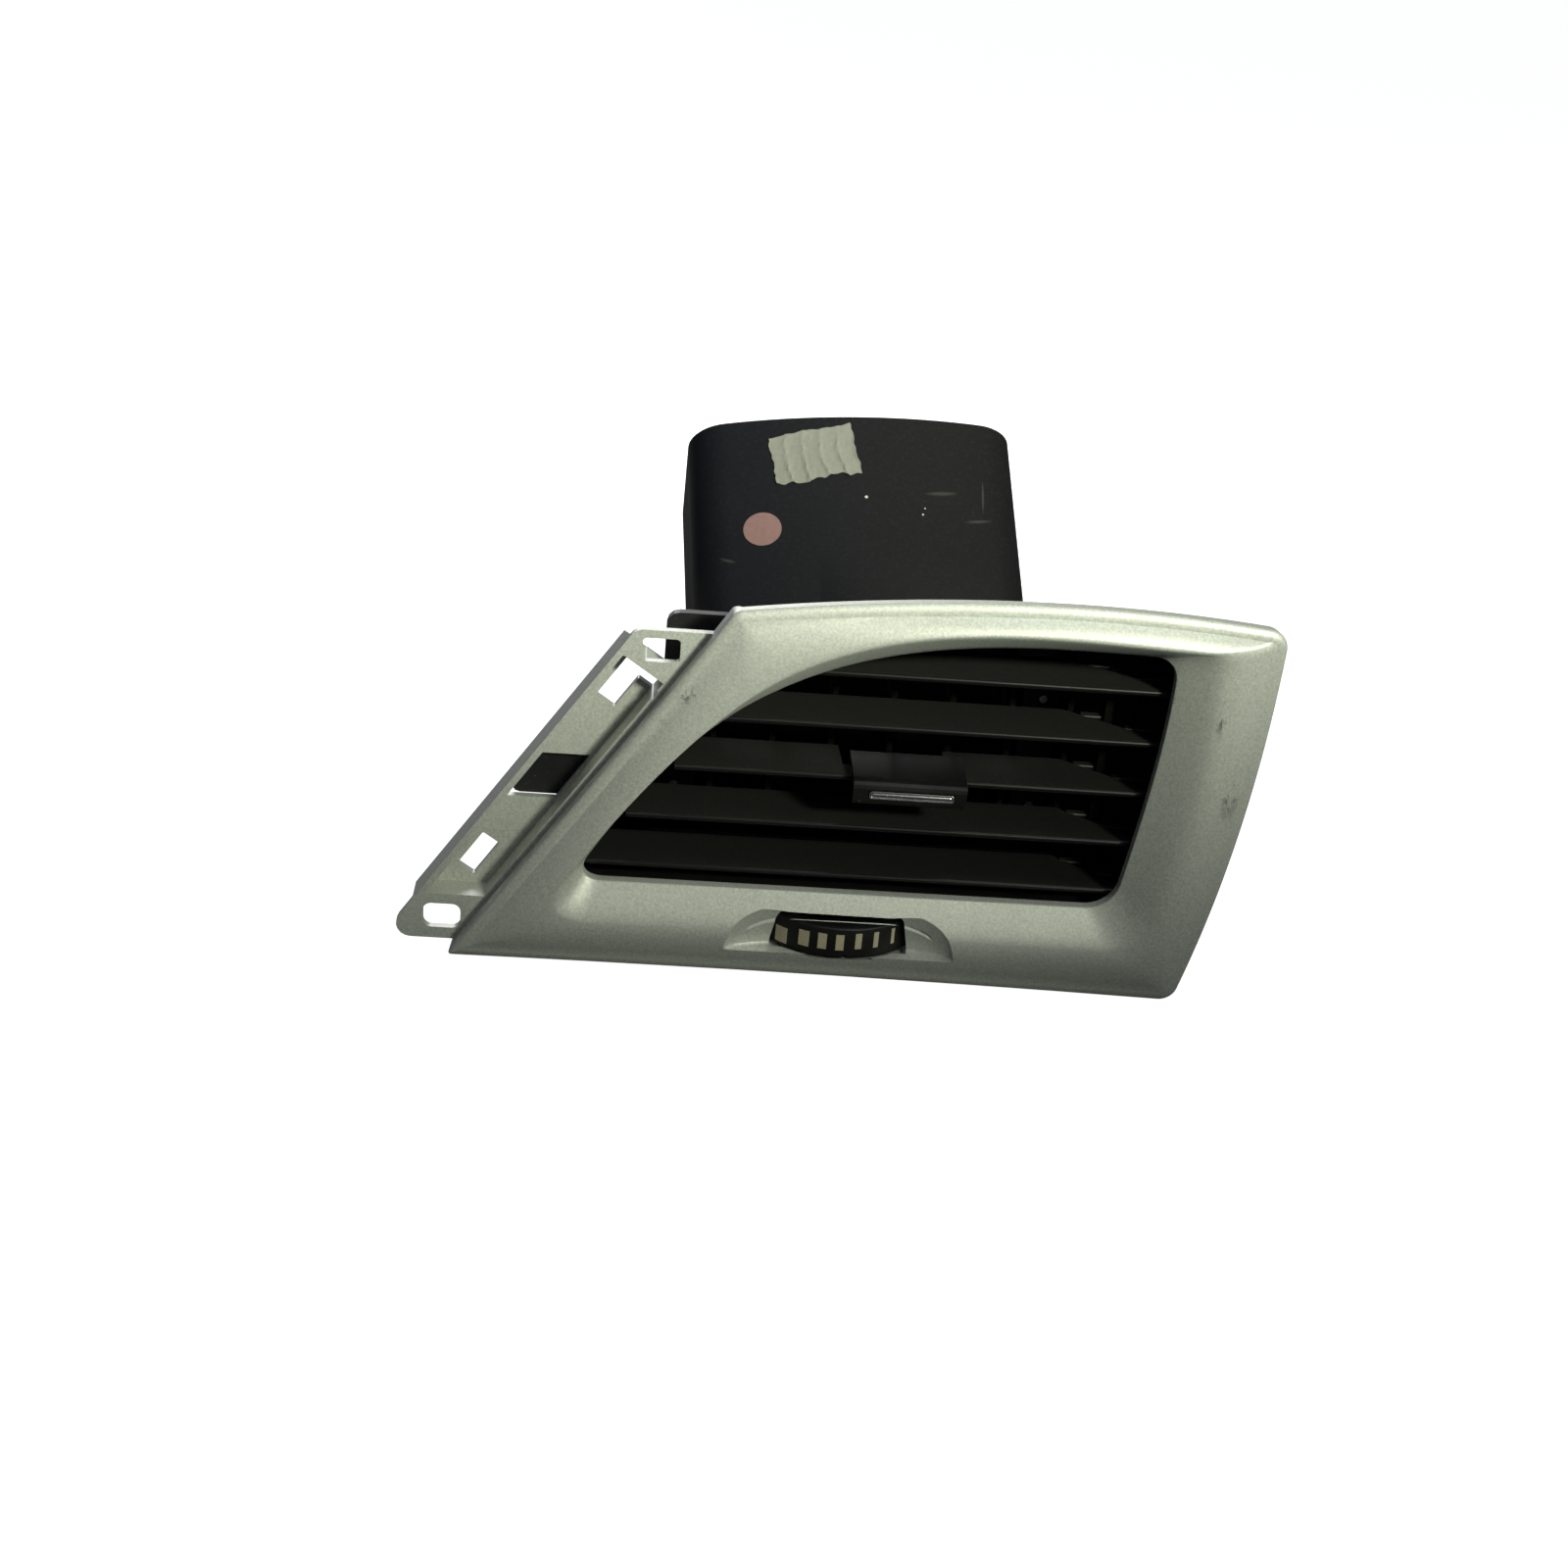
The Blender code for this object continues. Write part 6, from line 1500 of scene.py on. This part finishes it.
class VENT_OT_stage(bpy.types.Operator):
    """Sets the floor, the soft light and the camera"""
    bl_idname = "vent.stage"
    bl_label = "Stage"

    def execute(self, context):
        scene = context.scene
        self.floor()
        for name, place, size, power in LAMPS:
            soft = aimed_lamp(name, "AREA", place, MIDDLE, power)
            soft.shape = "RECTANGLE"
            soft.size, soft.size_y = size
        self.key_light()
        world = bpy.data.worlds.new("studio")
        world.use_nodes = True
        self.world_light(world.node_tree)
        scene.world = world
        scene.camera = self.camera(scene.vent_sizes.camera_lens)
        scene.view_settings.view_transform = "Standard"
        return {"FINISHED"}

    def floor(self):
        bm = bmesh.new()
        bmesh.ops.create_grid(bm, x_segments=1, y_segments=1, size=FLOOR_HALF)
        bmesh.ops.translate(bm, vec=(0.0, 0.0, CAD_BOX[0][2]), verts=bm.verts)
        floor = object_from("floor", bm)
        floor.data.materials.append(self.floor_paint())
        bpy.context.scene.collection.objects.link(floor)

    def camera(self, lens):
        """A camera where the photograph was taken from."""
        data = bpy.data.cameras.new("camera")
        data.lens = lens
        data.sensor_width = SENSOR_WIDTH
        data.clip_start = 0.01
        camera = bpy.data.objects.new("camera", data)
        columns = Matrix((CAMERA_RIGHT, CAMERA_UP, CAMERA_BACK)).transposed().to_4x4()
        columns.translation = CAMERA_PLACE
        camera.matrix_world = columns
        bpy.context.scene.collection.objects.link(camera)
        return camera

    def key_light(self):
        """A wide soft spot aimed above the part, so that its light fades down the bezel."""
        key = aimed_lamp("key light", "SPOT", KEY_PLACE, KEY_AIM, KEY_POWER)
        key.color = KEY_COLOUR
        key.spot_size = math.radians(2 * KEY_HALF_ANGLE)
        key.spot_blend = 1.0
        key.shadow_soft_size = KEY_RADIUS

    def floor_paint(self):
        """Pale to the camera and darker to the part, so its lower faces stay dark."""
        paint = Paint("pale floor")
        seen = paint.add("ShaderNodeLightPath").outputs["Is Camera Ray"]
        speck = paint.noise(180.0, 3.0)
        pale = paint.mix(speck, (0.90, 0.90, 0.90), (0.93, 0.93, 0.93))
        paint.look(Base_Color=paint.mix(seen, (0.10, 0.10, 0.11), pale), Roughness=0.9)
        paint.shader.inputs["Emission Color"].default_value = (1.0, 1.0, 1.0, 1.0)
        paint.look(Emission_Strength=paint.maths("MULTIPLY", seen, FLOOR_GLOW))
        return paint.material

    def world_light(self, tree):
        """A white sky to the camera and a dim one to the part."""
        background = tree.nodes["Background"]
        background.inputs["Color"].default_value = SKY_COLOUR
        path = tree.nodes.new("ShaderNodeLightPath")
        strength = tree.nodes.new("ShaderNodeMapRange")
        strength.inputs["To Min"].default_value = WORLD_LIGHT
        strength.inputs["To Max"].default_value = SKY_SEEN
        tree.links.new(path.outputs["Is Camera Ray"], strength.inputs["Value"])
        tree.links.new(strength.outputs["Result"], background.inputs["Strength"])


class VENT_PT_panel(bpy.types.Panel):
    bl_idname = "VENT_PT_panel"
    bl_label = "Dashboard Air Vent"
    bl_space_type = "VIEW_3D"
    bl_region_type = "UI"
    bl_category = "Vent"

    def draw(self, context):
        layout = self.layout
        for group in (context.scene.vent_colours, context.scene.vent_sizes):
            for key in group.__annotations__:
                layout.prop(group, key)
        for operator in OPERATORS:
            layout.operator(operator.bl_idname)


OPERATORS = (
    VENT_OT_stage,
    VENT_OT_finish_frame,
    VENT_OT_bezel,
    VENT_OT_duct,
    VENT_OT_thumbwheel,
    VENT_OT_trim,
    VENT_OT_slats,
    VENT_OT_stickers,
)
CLASSES = (VentColours, VentSizes) + OPERATORS + (VENT_PT_panel,)


def register():
    for cls in CLASSES:
        bpy.utils.register_class(cls)
    bpy.types.Scene.vent_colours = PointerProperty(type=VentColours)
    bpy.types.Scene.vent_sizes = PointerProperty(type=VentSizes)


def unregister():
    del bpy.types.Scene.vent_sizes
    del bpy.types.Scene.vent_colours
    for cls in reversed(CLASSES):
        bpy.utils.unregister_class(cls)


def main():
    register()
    bpy.ops.vent.stage()
    bpy.ops.vent.finish_frame()
    bpy.ops.vent.bezel()
    bpy.ops.vent.duct()
    bpy.ops.vent.thumbwheel()
    bpy.ops.vent.trim()
    bpy.ops.vent.slats()
    bpy.ops.vent.stickers()


if __name__ == "__main__":
    main()
